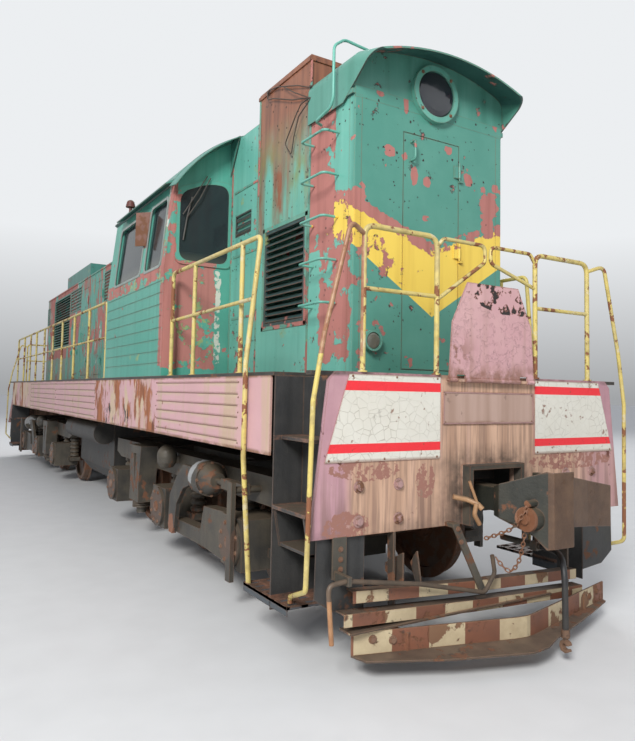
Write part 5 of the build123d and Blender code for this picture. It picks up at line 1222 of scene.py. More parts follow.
# Long hood: welded sheet steel, brushed green over red-brown primer that shows in long upright strips.
# Round spots: chips and lichen discs of mixed size, one in each picked cell.
spots, given, result = new_group("spots", [("Scale", 5.0), ("Size", 0.2), ("Share", 0.5), ("Seed", 0.0)],
                                 ["Mask"])
place = moved_place(spots, given["Seed"])
finer = math_node(spots, "MULTIPLY", given["Scale"], 3.2)
amount = math_node(spots, "DIVIDE", 0.55, given["Scale"])
moved = shaken(spots, place, amount, {"Vector": place, "Scale": finer, "Detail": 3.0})
cell = put(spots, "TexVoronoi", {"Vector": moved, "Scale": given["Scale"], "Randomness": 1.0}).outputs
picks = put(spots, "SeparateColor", {0: cell["Color"]}).outputs
size = math_node(spots, "MULTIPLY", given["Size"], math_node(spots, "ADD", picks[1], 0.35))
near = less_than(spots, cell["Distance"], size)
spots.links.new(math_node(spots, "MULTIPLY", near, less_than(spots, picks[0], given["Share"])),
                result["Mask"])


def spotted(tree, scale, size, share, seed):
    """Mask of round spots."""
    return use(tree, spots, Scale=scale, Size=size, Share=share, Seed=seed)["Mask"]


primer = colour(0.43, 0.17, 0.145)
primer_dark = colour(0.27, 0.10, 0.08)
chip_black_and_edge_shadow = colour(0.035, 0.028, 0.025)
lichen = colour(0.30, 0.36, 0.13)
white_flake = colour(0.60, 0.62, 0.55)


def old_paint(name, fresh, faded, patch=0.60, share=0.35, seed=0.0, extra=None):
    """Faded gloss paint over primer, with round chips, lichen discs, black nicks and rain runs."""
    material, tree, shader = new_material(name)
    fade = flaked(tree, 1.3, 0.36, 0.28, seed)
    base = lay(tree, fade, fresh, faded)
    rain = streaked(tree, 9.0, 0.50, 0.28, seed)
    base = tinted(tree, base, rain, 0.45, colour(fresh[0] * 0.5, fresh[1] * 0.55, fresh[2] * 0.5))
    bleach = streaked(tree, 14.0, 0.56, 0.2, seed + 2.0)
    base = lay(tree, part_of(tree, bleach, 0.35), base,
               colour(faded[0] * 1.35 + 0.02, min(faded[1] * 1.15 + 0.02, 0.9), faded[2] * 1.2 + 0.02))
    discs = spotted(tree, 3.1, 0.17, share * 0.8, seed + 9.1)
    disc_noise = flaked(tree, 24.0, 0.40, 0.15, seed)
    base = lay(tree, part_of(tree, part_of(tree, discs, disc_noise), 0.75), base, lichen)
    patches = use(tree, flakes, Scale=6.0, Level=patch, Edge=0.008, Seed=seed + 3.7)
    rounds = spotted(tree, 4.3, 0.15, share, seed + 1.3)
    patch_mask = larger(tree, patches["Mask"], rounds)
    if extra:
        base, patch_mask = extra(tree, base, patch_mask)
    # Dark rim round each bare patch: black chipping at the paint's edge and painted shadow of that raised
    # edge.
    rim = flaked(tree, 6.0, patch - 0.02, 0.01, seed + 3.7)
    rim_noise = flaked(tree, 30.0, 0.50, 0.05, seed)
    base = tinted(tree, base, rim, rim_noise, chip_black_and_edge_shadow)
    primer_tone = lay(tree, rain, primer, primer_dark)
    base = lay(tree, patch_mask, base, primer_tone)
    nicks = spotted(tree, 21.0, 0.17, share * 0.75, seed + 5.3)
    crowd = flaked(tree, 2.6, 0.47, 0.08, seed + 6.1)
    nicks = part_of(tree, nicks, crowd)
    base = lay(tree, nicks, base, chip_black_and_edge_shadow)
    base = worn_edges(tree, base, 0.7, bare_rust)
    bare = larger(tree, patch_mask, nicks)
    height = math_node(tree, "SUBTRACT", part_of(tree, patches["Height"], 1.5), bare)
    finish_surface(tree, shader, base, height, 0.003, bare, (0.42, 0.8))
    return material


green_fresh = colour(0.062, 0.31, 0.235)
green_faded = colour(0.115, 0.36, 0.28)


def hood_flaking(tree, base, patches):
    """Broad upright strips of bare primer with white flecks, fewer low down."""
    strips = flaked(tree, 3.4, 0.478, 0.012, 2.0, Upright=0.32)
    low = in_box(tree, Z_high=2.55, Ragged=0.25)
    strips = math_node(tree, "SUBTRACT", strips, part_of(tree, low, 0.6))
    flecks = flaked(tree, 9.0, 0.60, 0.01, 8.0, Upright=0.4)
    base = lay(tree, flecks, base, white_flake)
    return base, larger(tree, strips, patches)


hood_green = old_paint("hood_green", green_fresh, green_faded, patch=0.58, share=0.4, seed=1.0,
                       extra=hood_flaking)
dress(hood_green, "hood_shell", "hood_door_left_1", "hood_door_left_2", "hood_door_right_1",
      "hood_door_right_2")

# Cover strips: flat steel welded over the joints of the hood's side sheets and painted with them. Between
# them each sheet has latches, each with a bolt beside it.
hood_y = 0.850
strip_x = (2.24, 1.62, 1.02, 0.38, -0.28, -0.88, -1.62, -2.06, -2.84, -3.44, -4.00, -6.10, -6.55)
latch_x = (1.92, 1.32, 0.70, 0.05, -0.60, -3.14, -3.72, -6.33)
strip_low = 2.06
strip_high = 4.08
strip_under_vents = 3.42
vent_runs = ((-0.90, 0.25), (1.20, 2.20), (-4.00, -2.86))
latch_rows = (2.62, 3.20)
for side, label in ((-1, "left"), (1, "right")):
    bm = bmesh.new()
    for x in strip_x:
        below_vent = any(low - 0.05 < x < high + 0.05 for low, high in vent_runs)
        top = strip_under_vents if below_vent else strip_high
        side_bar(bm, side, x - 0.018, x + 0.018, hood_y - 0.002, hood_y + 0.006, strip_low, top)
    for x in latch_x:
        for z in latch_rows:
            side_bar(bm, side, x - 0.015, x + 0.015, hood_y - 0.002, hood_y + 0.028, z - 0.05, z + 0.05,
                     0.005)
            add_bolt(bm, (x + 0.03, side * (hood_y + 0.001), z), (0, side, 0), 0.011, 0.010)
    finish_piece("hood_strips_" + label, bm, "root", hood_green)

# Rain gutters: a folded steel strip along each side of the hood under the roof's edge, painted with the
# hood.
gutter_x0 = -6.940
gutter_x1 = 2.430
gutter_z = 4.088
bm = bmesh.new()
for side in (-1, 1):
    side_bar(bm, side, gutter_x0, gutter_x1, hood_y - 0.002, hood_y + 0.014, gutter_z, gutter_z + 0.016,
             0.003)
finish_piece("hood_gutters", bm, "root", hood_green)

# Roof sheets over the hood with their hatch, and the handrail, fan, grilles, shutters and vents: sheet
# and tube in darker greens, stained by rain.
roof_green = old_paint("roof_green", colour(0.038, 0.175, 0.14), colour(0.068, 0.24, 0.195), patch=0.62,
                       share=0.25, seed=11.0)
dress(roof_green, "hood_roof", "roof_hatch")
dress(old_paint("roof_rail_paint", colour(0.05, 0.10, 0.09), colour(0.09, 0.16, 0.14), patch=0.66, share=0.2,
                seed=35.0), "roof_handrail")
dress(old_paint("blade_dark", colour(0.018, 0.042, 0.042), colour(0.038, 0.085, 0.080), patch=0.66,
                share=0.15, seed=31.0), "tower_grilles", "radiator_fan")
dress(old_paint("louvre_green", colour(0.040, 0.165, 0.13), colour(0.078, 0.24, 0.19), patch=0.66, share=0.2,
                seed=33.0), "radiator_shutters", "hood_vents")


# Cab: welded steel in the same green. Its end wall and the band below its side windows have shed their
# paint to primer with olive and green remains, and the roof's visors carry painted shade beneath.
def cab_flaking(tree, base, patches):
    """Primer on the left end corner and under the side windows, with paint remains on it."""
    band = in_box(tree, Z_low=3.03, Z_high=3.20, X_low=2.4, X_high=4.80, Ragged=0.12)
    corner = in_box(tree, X_low=4.84, Y_high=-1.00, Z_low=2.08, Z_high=3.25, Ragged=0.12)
    post = in_box(tree, X_low=4.74, Y_high=-1.46, Z_low=2.1, Z_high=4.15, Ragged=0.06)
    remains = flaked(tree, 9.0, 0.525, 0.012, 4.4, Broad=0.35)
    olive = flaked(tree, 13.0, 0.50, 0.05, 6.4, Broad=0.3)
    tone = lay(tree, part_of(tree, olive, 0.85), base, colour(0.31, 0.34, 0.13))
    shown = larger(tree, larger(tree, band, corner), post)
    base = lay(tree, shown, base, tone)
    bare = part_of(tree, shown, rest_of(tree, remains))
    strip = in_box(tree, X_low=4.84, Y_low=-1.00, Y_high=-0.935, Z_low=2.15, Z_high=3.15, Ragged=0.10)
    strip_noise = flaked(tree, 16.0, 0.44, 0.03, 14.0)
    base = tinted(tree, base, strip, strip_noise, colour(0.60, 0.58, 0.50))
    edge_white = in_box(tree, X_low=4.70, X_high=4.80, Y_high=-1.3, Z_low=3.6, Z_high=4.1, Ragged=0.08)
    base = tinted(tree, base, edge_white, strip_noise, white_flake)
    # Brown rust on the posts between the side windows, behind the wind deflectors.
    x, y, z = put(tree, "SeparateXYZ", {0: object_place(tree)}).outputs
    out = part_of(tree, more_than(tree, math_node(tree, "ABSOLUTE", y), 1.50), between(tree, z, 3.50, 3.95))
    out = part_of(tree, out, between(tree, x, 3.94, 4.07))
    brown = lay(tree, flaked(tree, 12.0, 0.42, 0.2, 3.0), colour(0.13, 0.055, 0.04),
                colour(0.20, 0.095, 0.065))
    patches = part_of(tree, larger(tree, bare, patches), rest_of(tree, out))
    return lay(tree, out, base, brown), patches


cab_green = old_paint("cab_green", green_fresh, green_faded, patch=0.64, share=0.3, seed=5.0,
                      extra=cab_flaking)
dress(cab_green, "cab_body", "cab_door_front", "cab_door_rear")


def shaded_underside(tree, base, patches):
    """Painted shade under the roof's overhangs: faces that look down are darkened."""
    down = put(tree, "SeparateXYZ", {0: put(tree, "NewGeometry").outputs["Normal"]}).outputs[2]
    return lay(tree, ramp(tree, down, -0.15, -0.55, 0.0, 0.8), base, colour(0.012, 0.050, 0.050)), patches


roof_paint = old_paint("cab_roof_green", colour(0.045, 0.20, 0.155), colour(0.085, 0.27, 0.215), patch=0.62,
                       share=0.3, seed=13.0, extra=shaded_underside)
dress(roof_paint, "cab_roof")

# Visors at the cab's front: the roof's sheet carried out and down on both sides of the tower, each closed
# by a cheek towards the tower.
cab_x0 = 2.450
cab_x1 = 4.870
roof_r = 1.830
roof_centre_z = deck_z + 2.894 - roof_r
overhang = 0.040
visor_t = 0.012
visor_near = 0.842
visor_far = 1.564
visor_x = cab_x1 + overhang
visor_len = 0.206
visor_fall = 0.033
cheek_high = 0.430
cheek_out = 0.190
high_angle = math.asin(visor_near / roof_r)
low_angle = math.asin(visor_far / roof_r)

bm = bmesh.new()
for side in (-1, 1):
    outer = []
    inner = []
    for step in range(9):
        angle = high_angle + (low_angle - high_angle) * step / 8
        for line, radius in ((outer, roof_r), (inner, roof_r - visor_t)):
            line.append((side * radius * math.sin(angle), roof_centre_z + radius * math.cos(angle)))
    near_x = visor_x - 0.019
    feet, tops = add_plate(bm, [*outer, *reversed(inner)], "X", near_x, near_x + visor_len)
    bmesh.ops.translate(bm, verts=tops, vec=(0, 0, -visor_fall))
    ease(bm, feet + tops, 0.002)
    cheek_z = inner[0][1]
    low_y, high_y = sorted((side * (visor_near + 0.001), side * (visor_near + 0.011)))
    add_plate(bm,
              ((cab_x1, cheek_z - cheek_high), (visor_x + cheek_out, cheek_z - 0.025),
               (cab_x1, cheek_z + 0.005)), "Y", low_y, high_y, 0.002)
finish_piece("window_visors", bm, "root", roof_paint)

# Wind deflectors: small upright steel sheets on the posts between the side windows, one on each side,
# brown with rust.
deflector_brown = grimy_material("deflector_brown", colour(0.13, 0.055, 0.040), colour(0.21, 0.10, 0.068),
                                 0.50, 47.0)
bm = bmesh.new()
for side in (-1, 1):
    plan = ((4.070, side * 1.480), (3.920, side * 1.632), (3.910, side * 1.626), (4.058, side * 1.474))
    add_plate(bm, plan, "Z", deck_z + 1.535, deck_z + 1.935, 0.002)
finish_piece("wind_deflectors", bm, "root", deflector_brown)

# Frames of the cab's side windows: thin pale metal, bent to the rounded corners and lying on the leaning
# wall.
frame_grey = grimy_material("window_frame", colour(0.21, 0.27, 0.25), colour(0.34, 0.38, 0.35), 0.62, 29.0)
waist_z = deck_z + 1.160
cab_half_w = 1.575
window_low = deck_z + 1.185
window_high = deck_z + 1.955
side_windows = ((2.80, 3.95), (4.11, 4.72))
wall_lean = 0.0951           # the upper side leans in by this much for each metre of height


def eased_outline(outline, radius):
    """Outline with its corners turned into short curves of seven points each."""
    corners = [Vector(corner) for corner in outline]
    points = []
    for number, corner in enumerate(corners):
        first = corner + (corners[number - 1] - corner).normalized() * radius
        last = corner + (corners[(number + 1) % len(corners)] - corner).normalized() * radius
        points += eased_bend(first, corner, last)
    return points


def add_window_ring(bm, outer, inner, thick, matrix):
    """Flat ring between two outlines of as many points, or a pane where there is no inner one."""
    sheet = bmesh.new()
    around = [sheet.verts.new((a, b, 0.0)) for a, b in outer]
    if inner:
        within = [sheet.verts.new((a, b, 0.0)) for a, b in inner]
        for number in range(len(around)):
            after = (number + 1) % len(around)
            sheet.faces.new((around[number], around[after], within[after], within[number]))
    else:
        sheet.faces.new(around)
    raised = bmesh.ops.extrude_face_region(sheet, geom=sheet.faces[:])["geom"]
    tops = [part for part in raised if isinstance(part, bmesh.types.BMVert)]
    bmesh.ops.translate(sheet, verts=tops, vec=(0, 0, thick))
    bmesh.ops.recalc_face_normals(sheet, faces=sheet.faces)
    bmesh.ops.transform(sheet, matrix=matrix, verts=sheet.verts)
    spare = bpy.data.meshes.new("ring")
    sheet.to_mesh(spare)
    sheet.free()
    bm.from_mesh(spare)
    bpy.data.meshes.remove(spare)


lean_angle = math.atan(wall_lean)
bm = bmesh.new()
for side in (-1, 1):
    middle_z = (window_low + window_high) / 2
    middle_y = side * (cab_half_w - (middle_z - waist_z) * wall_lean - 0.002)
    for x0, x1 in side_windows:
        facing = Matrix.Translation(((x0 + x1) / 2, middle_y, middle_z))
        facing = facing @ Matrix.Rotation(side * lean_angle, 4, "X") @ Matrix.Rotation(-side * math.pi / 2,
                                                                                       4, "X")
        outlines = []
        for grow, radius in ((0.015, 0.075), (-0.016, 0.085)):
            half_w = (x1 - x0) / 2 + grow
            half_h = (window_high - window_low) / 2 + grow
            outlines.append(eased_outline(((-half_w, -half_h), (half_w, -half_h), (half_w, half_h),
                                           (-half_w, half_h)), radius))
        add_window_ring(bm, *outlines, 0.008, facing)
finish_piece("side_window_frames", bm, "root", frame_grey)

# End windows: each large pane of flat glass sits in a pressed green frame on the wall. Behind the part of it
# that lies on the wall sits a near-black sheet: painted shade, so that part looks as dark as the rest.
pane_foot = 3.228
pane_top = 3.988             # top of the outer edge; the top slopes up inwards from there
pane_out_y = 1.440
end_panes = ((cab_x0, -1, 1, 0.905), (cab_x1, 1, -1, 0.855))    # face, outwards, side, inner edge
window_shade_sheet = grimy_material("window_shade_sheet", colour(0.012, 0.012, 0.012), colour(0.022, 0.022, 0.022), 0.75,
                            49.0)


def end_window(side, inner_y, grow):
    """Outline of an end window, grown all round."""
    return ((side * (inner_y - grow), pane_foot - grow), (side * (pane_out_y + grow), pane_foot - grow),
            (side * (pane_out_y + grow), pane_top + grow), (side * 1.110, pane_top + 0.145 + grow),
            (side * (inner_y - grow), pane_top + 0.150 + grow))


rings = bmesh.new()
panes = bmesh.new()
backs = bmesh.new()
for face_x, out, side, inner_y in end_panes:
    facing = Matrix(((0, 0, out, face_x), (1, 0, 0, 0), (0, 1, 0, 0), (0, 0, 0, 1)))
    add_window_ring(rings, eased_outline(end_window(side, inner_y, 0.030), 0.085),
                    eased_outline(end_window(side, inner_y, -0.014), 0.115), 0.016, facing)
    add_window_ring(panes, eased_outline(end_window(side, inner_y, 0.0), 0.06), None, 0.004,
                    Matrix.Translation((out * 0.006, 0, 0)) @ facing)
    # Near-black sheet of painted shade behind the part of the pane that lies on the wall.
    open_top = ((side * 0.900, 4.104), (side * 1.110, 4.084), (side * 1.440, 3.854))
    add_plate(backs,
              [*end_window(side, inner_y, 0.0)[2:], (side * inner_y, pane_foot), (side * 0.900, pane_foot),
               *open_top], "X", face_x + out * 0.0005, face_x + out * 0.003)
finish_piece("end_window_frames", rings, "root", cab_green)
finish_piece("end_window_backs", backs, "root", window_shade_sheet)

# Wiper on the left of the cab's front window: two thin steel arms side by side from above the glass, and
# one rubber blade.
wiper_black = grimy_material("wiper_black", colour(0.020, 0.020, 0.020), colour(0.075, 0.070, 0.060), 0.66,
                             37.0)

front_glass = 4.888
wiper_arms = (((front_glass + 0.02, -1.102, 4.175), (front_glass + 0.035, -1.22, 3.93),
               (front_glass + 0.02, -1.352, 3.709)),
              ((front_glass + 0.02, -1.140, 4.190), (front_glass + 0.03, -1.27, 3.96),
               (front_glass + 0.015, -1.40, 3.73)))
wiper_blades = (((front_glass + 0.008, -1.300, 3.935), (front_glass + 0.012, -1.352, 3.709),
                 (front_glass + 0.008, -1.388, 3.455)),)
bar_piece("wiper_arms", [(route, 0.006, 0.4) for route in wiper_arms], "root", wiper_black)
bar_piece("wiper_blades", [(route, 0.009, 0.4) for route in wiper_blades], "root", wiper_black)


# Cab glass: flat panes of toughened glass, held in the walls by their frames. They are dusty, most along
# the sills, and look dark against the cab's inside.
def glass_material():
    material, tree, shader = new_material("dusty_glass")
    dust = flaked(tree, 2.4, 0.35, 0.5, 2.0)
    z = put(tree, "SeparateXYZ", {0: object_place(tree)}).outputs[2]
    sill = ramp(tree, z, 3.34, 3.20, 0.0, 0.7)
    base = lay(tree, dust, colour(0.022, 0.034, 0.040), colour(0.050, 0.064, 0.064))
    base = lay(tree, sill, base, colour(0.16, 0.17, 0.13))
    shader.inputs["Metallic"].default_value = 0.0
    shader.inputs["Transmission Weight"].default_value = 0.35
    shader.inputs["IOR"].default_value = 1.45
    shader.inputs["Specular IOR Level"].default_value = 0.15
    grain = put(tree, "TexNoise", {"Vector": object_place(tree), "Scale": 40.0}).outputs[0]
    finish_surface(tree, shader, base, grain, 0.0004, dust, (0.04, 0.22))
    return material


dusty_glass = glass_material()
dress(dusty_glass, "cab_glass")
finish_piece("end_window_panes", panes, "root", dusty_glass)

# Inside the cab: pale painted desks and black covered seats, fixed to the floor. Behind the hood doors
# stands one grey engine block.
dress(old_paint("desk_paint", colour(0.20, 0.22, 0.19), colour(0.28, 0.30, 0.25), patch=0.66, share=0.1,
                seed=39.0), "cab_desk")
dress(grimy_material("seat_black", colour(0.022, 0.020, 0.019), colour(0.045, 0.038, 0.034), 0.72, 41.0),
      "cab_seats")
dress(old_paint("engine_grey", colour(0.18, 0.20, 0.21), colour(0.27, 0.28, 0.28), patch=0.66, share=0.1,
                seed=37.0), "engine_block")

# Tower: sheet steel housing in faded green with a yellow chevron across its front, a column of bare
# primer behind the climbing irons, and a stack whose side has rusted brown from the top down.
chevron_yellow = colour(0.85, 0.61, 0.10)
front_x = 7.32
tower_y = 0.83
column_x0 = 6.62
column_x1 = 7.035
# Largest bare patches on the front: how far from the middle, height, half width and half height.
front_patches = ((-0.468, 3.881, 0.062, 0.050), (-0.790, 3.452, 0.080, 0.075), (-0.069, 3.688, 0.045, 0.045),
                 (0.411, 3.793, 0.048, 0.060), (0.746, 4.400, 0.040, 0.085), (0.668, 3.590, 0.120, 0.130),
                 (-0.326, 4.50, 0.035, 0.110), (-0.304, 4.32, 0.028, 0.100), (0.174, 4.016, 0.045, 0.035),
                 (-0.208, 3.709, 0.040, 0.085), (0.749, 3.772, 0.045, 0.045), (0.655, 3.40, 0.080, 0.110))


def tower_marks(tree, base, patches):
    """Deeper green front with its own patches, yellow chevron, primer column and brown stack."""
    place = object_place(tree)
    wobble = put(tree, "TexNoise", {"Vector": place, "Scale": 24.0, "Detail": 5.0}).outputs[0]
    shake = math_node(tree, "MULTIPLY", math_node(tree, "SUBTRACT", wobble, 0.5), 0.07)
    x, y, z = put(tree, "SeparateXYZ", {0: place}).outputs
    deep = lay(tree, flaked(tree, 2.6, 0.42, 0.3, 24.0), colour(0.075, 0.262, 0.202),
               colour(0.112, 0.318, 0.248))
    base = lay(tree, ramp(tree, x, 7.262, 7.314), base, deep)
    across = math_node(tree, "MINIMUM", math_node(tree, "ABSOLUTE", y), tower_y)
    back = larger(tree, math_node(tree, "SUBTRACT", front_x, x), 0.0)
    path = math_node(tree, "ADD", across, back)
    top = math_node(tree, "ADD", math_node(tree, "MULTIPLY_ADD", path, 0.362, 3.09), shake)
    foot = math_node(tree, "MULTIPLY_ADD", back, 0.38, math_node(tree, "MULTIPLY_ADD", across, 0.635, 2.515))
    band = part_of(tree, more_than(tree, z, foot), less_than(tree, z, top))
    band = part_of(tree, band, between(tree, y, -0.860, 0.860))
    band = part_of(tree, band, more_than(tree, x, column_x0))
    yellow_tone = lay(tree, streaked(tree, 7.0, 0.48, 0.25), chevron_yellow, colour(0.70, 0.47, 0.07))
    base = lay(tree, band, base, yellow_tone)
    # Primer bared along the chevron's upper edge.
    over = math_node(tree, "SUBTRACT", z, top)
    above = between(tree, over, -0.045, 0.065)
    scabs = flaked(tree, 9.0, 0.475, 0.01, 7.7, Broad=0.3)
    rim_bare = part_of(tree, part_of(tree, above, scabs), more_than(tree, x, 6.9))
    stack = in_box(tree, X_low=5.53, X_high=column_x0, Z_low=3.30, Ragged=0.02)
    drips = streaked(tree, 5.5, 0.40, 0.22, 3.0)
    mottled = flaked(tree, 6.0, 0.42, 0.12, 23.0, Upright=0.4)
    falling = ramp(tree, z, 4.55, 3.70, 0.0, 1.6)
    kept = math_node(tree, "MINIMUM",
                     part_of(tree, falling, larger(tree, drips, part_of(tree, mottled, 0.7))), 1.0)
    brown_tone = lay(tree, streaked(tree, 16.0, 0.42, 0.25, 6.0), colour(0.27, 0.105, 0.055),
                     colour(0.155, 0.060, 0.034))
    green_stain = lay(tree, part_of(tree, mottled, ramp(tree, z, 3.5, 3.9, 0.2, 0.9)), base,
                      colour(0.20, 0.235, 0.075))
    base = lay(tree, stack, base, lay(tree, kept, brown_tone, green_stain))
    column = in_box(tree, X_low=column_x0, X_high=column_x1, Y_high=-0.5, Z_low=3.08, Z_high=4.62,
                    Ragged=0.05)
    column_foot = in_box(tree, X_low=6.80, X_high=7.30, Y_high=-0.5, Z_low=2.1, Z_high=3.16, Ragged=0.20)
    left = flaked(tree, 10.0, 0.60, 0.01, 1.4)
    kept_low = flaked(tree, 6.5, 0.49, 0.01, 5.1)
    shown = part_of(tree, column, rest_of(tree, left))
    shown = larger(tree, shown, part_of(tree, column_foot, rest_of(tree, kept_low)))
    for y_mid, z_mid, half_w, half_h in front_patches:
        spot = blotted(tree, place, (front_x, y_mid, z_mid), (0.2, half_w, half_h), 1.5)
        shown = larger(tree, shown, spot)
    shown = larger(tree, shown, rim_bare)
    off_stack = rest_of(tree, stack)
    on_wall = less_than(tree, math_node(tree, "ABSOLUTE", y), 0.845)
    shown = part_of(tree, shown, on_wall)
    return base, part_of(tree, larger(tree, shown, patches), off_stack)


tower_green = old_paint("tower_green", colour(0.115, 0.395, 0.315), colour(0.165, 0.445, 0.355), patch=0.615,
                        share=0.60, seed=21.0, extra=tower_marks)
dress(tower_green, "tower_shell", "tower_door")
dress(old_paint("tower_roof_green", colour(0.062, 0.238, 0.184), colour(0.104, 0.298, 0.232), patch=0.60,
                share=0.35, seed=25.0, extra=shaded_underside), "tower_roof")

# Seams: steel strips riveted down the joints of the tower's side sheets, with flat frames round the big
# grilles and bars over the small openings beside them, all in old green paint.
seam_paint = old_paint("seam_paint", colour(0.085, 0.30, 0.235), colour(0.15, 0.34, 0.25), patch=0.53,
                       share=0.6, seed=45.0)
# Ranges of x and z: three seams, the four sides of a grille's frame, and three bars.
seam_bars = ((6.598, 6.628, 2.00, 4.86), (5.552, 5.580, 2.00, 4.86), (4.885, 4.915, 2.00, 4.62),
             (5.70, 5.74, 2.45, 3.48), (6.55, 6.59, 2.45, 3.48), (5.70, 6.59, 3.438, 3.478),
             (5.70, 6.59, 2.448, 2.488), (4.96, 5.54, 2.62, 2.645), (4.96, 5.54, 3.30, 3.325),
             (4.96, 5.54, 4.02, 4.045))
seam_rivet_x = (6.613, 5.566)
seam_rivet_low = 2.1
seam_rivet_gap = 0.16
for side, label in ((-1, "left"), (1, "right")):
    bm = bmesh.new()
    for x0, x1, z0, z1 in seam_bars:
        side_bar(bm, side, x0, x1, tower_y - 0.002, tower_y + 0.006, z0, z1, 0.0015)
    for number in range(18):
        for x in seam_rivet_x:
            add_rivet(bm, (x, side * (tower_y + 0.005), seam_rivet_low + seam_rivet_gap * number),
                      (0, side, 0), 0.007)
    finish_piece("tower_seams_" + label, bm, "root", seam_paint)

# Rim and nose: a flat bar welded around the top of the stack, the strip over the joint above the nose's
# front sheet, and that sheet's folded corners, all painted with the tower.
stack_x0 = 5.538
stack_x1 = 6.612
stack_y = 0.842
rim_t = 0.014
rim_low = 4.864
rim_high = 4.904
bm = bmesh.new()
for x0, x1, y0, y1 in ((stack_x0, stack_x1, -stack_y, rim_t - stack_y),
                       (stack_x0, stack_x1, stack_y - rim_t, stack_y),
                       (stack_x0, stack_x0 + rim_t, -stack_y, stack_y),
                       (stack_x1 - rim_t, stack_x1, -stack_y, stack_y)):
    add_bar(bm, (x0, y0, rim_low), (x1, y1, rim_high), 0.003)
add_plate(bm, ((-0.829, 4.262), (0.829, 4.262), (0.829, 4.362), (-0.829, 4.362)), "X", 7.300, 7.3212)
for side in (-1, 1):
    add_plate(bm,
              ((7.246, side * 0.8305), (7.3085, side * 0.8305), (7.3170, side * 0.8270),
               (7.3205, side * 0.8185), (7.3205, side * 0.756)), "Z", deck_z + 0.002, 4.280)
finish_piece("stack_rim_and_nose_corners", bm, "root", tower_green)

# Grab rail over the climbing irons: a steel tube bent from the top iron up the corner and over onto the
# roof, welded at both ends and painted with the tower.
grab_route = ((6.830, -0.850, 4.175), (6.860, -0.925, 4.180), (7.100, -0.930, 4.215), (7.145, -0.930, 4.280),
              (7.145, -0.930, 4.730), (7.105, -0.800, 4.835), (7.115, -0.500, 4.800), (7.115, -0.450, 4.732))
bar_piece("roof_grab_rail", [(grab_route, 0.013, 0.100)], "root", tower_green)

# Bent wire stay on the left of the stack: a stiff black frame of steel wire, held by three bolts at its
# two ends.
wire_black = grimy_material("wire_black", colour(0.018, 0.018, 0.018), colour(0.045, 0.045, 0.042), 0.75,
                            27.0)
wire_y = -0.856
wire_bolts = ((6.625, 4.60), (6.63, 4.49), (5.765, 4.875))
wire_routes = (((6.62, wire_y + 0.02, 4.60), (6.40, wire_y, 4.70), (6.00, wire_y, 4.845),
                (5.78, wire_y, 4.890), (5.76, wire_y, 4.80), (5.90, wire_y, 4.765), (6.30, wire_y, 4.60),
                (6.50, wire_y, 4.54), (6.62, wire_y + 0.02, 4.50)),
               ((6.12, wire_y, 4.795), (6.35, wire_y - 0.01, 4.65), (6.62, wire_y, 4.50)),
               ((6.62, wire_y, 4.50), (6.50, wire_y - 0.02, 4.48), (6.40, wire_y - 0.02, 4.40),
                (6.20, wire_y - 0.01, 4.22), (6.19, wire_y, 4.19), (6.29, wire_y, 4.08),
                (6.31, wire_y, 4.10), (6.36, wire_y - 0.01, 4.22), (6.46, wire_y - 0.02, 4.38),
                (6.63, wire_y, 4.48)))
bar_piece("stack_wire_stay", [(route, 0.0055, 0.06) for route in wire_routes], "root", wire_black)
bm = bmesh.new()
for x, z in wire_bolts:
    add_bolt(bm, (x, -tower_y, z), (0, -1, 0), 0.016, 0.030)
finish_piece("wire_stay_bolts", bm, "root", wire_black)

# Lamps: green rings with domed lenses, black with dust in the headlights and grey in the markers. Each
# headlight is held by four clips.
dress(old_paint("lamp_green", colour(0.085, 0.32, 0.25), colour(0.13, 0.37, 0.29), patch=0.68, share=0.3,
                seed=43.0), "lamps_front", "lamps_rear")


def lens_material(name, dark, dusty):
    material, tree, shader = new_material(name)
    dust = flaked(tree, 5.0, 0.36, 0.35, 3.0)
    base = lay(tree, dust, dark, dusty)
    shader.inputs["Coat Weight"].default_value = 0.6
    shader.inputs["Coat Roughness"].default_value = 0.05
    ribs = put(tree, "TexNoise", {"Vector": object_place(tree), "Scale": 24.0, "Detail": 3.0}).outputs[0]
    finish_surface(tree, shader, base, ribs, 0.0006, dust, (0.10, 0.35))
    return material


headlight_glass = lens_material("headlight_glass", colour(0.010, 0.014, 0.022), colour(0.040, 0.042, 0.042))
marker_glass = lens_material("marker_glass", colour(0.085, 0.085, 0.070), colour(0.17, 0.165, 0.13))


def add_lens(bm, centre, out, radius, bulge):
    """Domed lens with a rounded rim."""
    outline = ((0.0, bulge), (0.45 * radius, 0.93 * bulge), (0.75 * radius, 0.72 * bulge),
               (0.93 * radius, 0.42 * bulge), (radius, 0.0), (radius, -0.006), (0.0, -0.006))
    add_turned(bm, outline, aimed(centre, out), 40)


headlight_r = 0.198
marker_r = 0.066
marker_z = 2.273
clip_circle = 0.225
# Both ends: face of the wall, outwards, height of the headlight, markers from the middle.
lamp_ends = (("front", 7.32, 1, 4.468, 0.65), ("rear", -7.20, -1, 4.028, 0.5525))
for end, face, out, light_z, marker_y in lamp_ends:
    bm = bmesh.new()
    add_lens(bm, (face + out * 0.0335, 0, light_z), (out, 0, 0), headlight_r, 0.022)
    finish_piece("headlight_" + end, bm, "root", headlight_glass)
    bm = bmesh.new()
    for side in (-1, 1):
        add_lens(bm, (face + out * 0.0485, side * marker_y, marker_z), (out, 0, 0), marker_r, 0.014)
    finish_piece("markers_" + end, bm, "root", marker_glass)
    bm = bmesh.new()
    add_bolt_circle(bm, (face + out * 0.044, 0, light_z), (out, 0, 0), clip_circle, 4, 45, 0.012, 0.012)
    finish_piece("headlight_clips_" + end, bm, "root", rusty_steel)

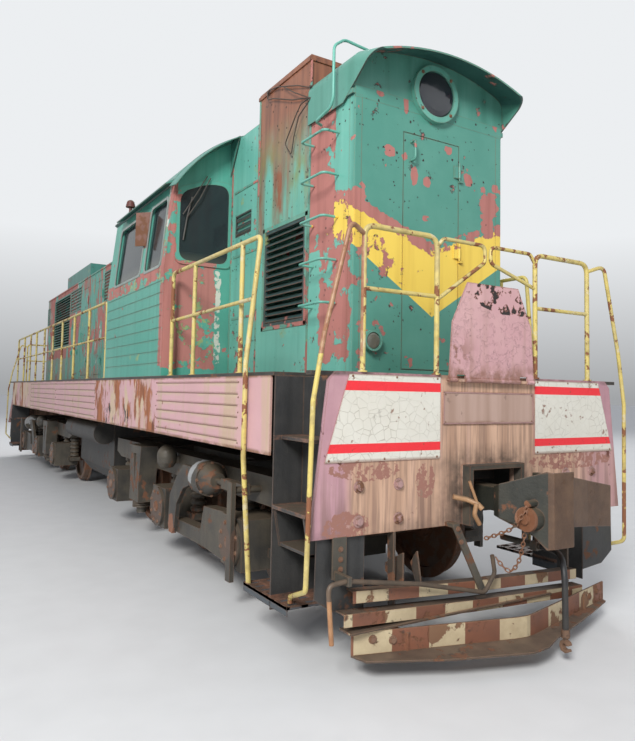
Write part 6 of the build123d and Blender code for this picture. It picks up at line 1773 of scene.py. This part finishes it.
# Warning lamp: a small dark red dome in a turned ring, on a stub of tube fixed at the rear left of the
# cab roof.
lamp_red = grimy_material("lamp_red", colour(0.085, 0.016, 0.012), colour(0.15, 0.04, 0.03), 0.70, 33.0)
warning_x = 2.53
warning_y = -1.33
dome_z = 4.415
bm = bmesh.new()
add_lens(bm, (warning_x, warning_y, dome_z), (0, 0, 1), 0.055, 0.050)
stand = Matrix.Translation((warning_x, warning_y, dome_z))
add_cone(bm, stand, -0.028, 0.045, 0.066, 0.058, 24)
add_cone(bm, stand, -0.120, 0.16, 0.022, 0.020, 16)
finish_piece("warning_lamp", bm, "root", lamp_red)


# Floor and light: a pale floor that fades into a pale surround, one large soft lamp from the left front
# and a weaker one behind.
def floor_material():
    material, tree, shader = new_material("floor_pale")
    grain = put(tree, "TexNoise", {"Vector": object_place(tree), "Scale": 3.0}).outputs[0]
    shade = ramp(tree, grain, 0.3, 0.7)
    base = lay(tree, shade, colour(0.70, 0.70, 0.69), colour(0.73, 0.73, 0.72))
    finish_surface(tree, shader, base, grain, 0.0005, shade, (0.72, 0.78))
    return material


floor_reach = 160.0
bm = bmesh.new()
bmesh.ops.create_grid(bm, x_segments=1, y_segments=1, size=floor_reach)
floor_mesh = bpy.data.meshes.new("floor")
bm.to_mesh(floor_mesh)
bm.free()
floor = shown_object("floor", floor_mesh)
floor_mesh.materials.append(floor_material())

world = bpy.data.worlds.new("surround")
bpy.context.scene.world = world
world.use_nodes = True
tree = world.node_tree
background = tree.nodes["Background"]
rays = put(tree, "LightPath").outputs
seen = larger(tree, rays["Is Camera Ray"], larger(tree, rays["Is Glossy Ray"], rays["Is Transmission Ray"]))
height = put(tree, "SeparateXYZ", {0: put(tree, "TexCoord").outputs["Generated"]}).outputs[2]
backdrop = lay(tree, ramp(tree, height, 0.0, 0.22), colour(0.36, 0.37, 0.38), colour(0.84, 0.86, 0.88))
tint = lay(tree, seen, colour(0.86, 0.90, 1.0), backdrop)
tree.links.new(tint, background.inputs["Color"])
tree.links.new(ramp(tree, seen, 0.0, 1.0, 0.48, 1.0), background.inputs["Strength"])

for name, place, target, size, power in (
        ("key", (18.0, -13.0, 12.0), (5.0, 0.0, 2.0), 6.0, 3950.0),
        ("back", (-16.0, 14.0, 16.0), (-2.0, 0.0, 2.0), 12.0, 2600.0)):
    lamp_data = bpy.data.lights.new(name, "AREA")
    lamp_data.shape = "DISK"
    lamp_data.size = size
    lamp_data.energy = power
    lamp = shown_object(name, lamp_data)
    lamp.location = place
    lamp.rotation_mode = "QUATERNION"
    lamp.rotation_quaternion = (Vector(target) - Vector(place)).to_track_quat("-Z", "Y")

bpy.context.scene.view_settings.view_transform = "Standard"
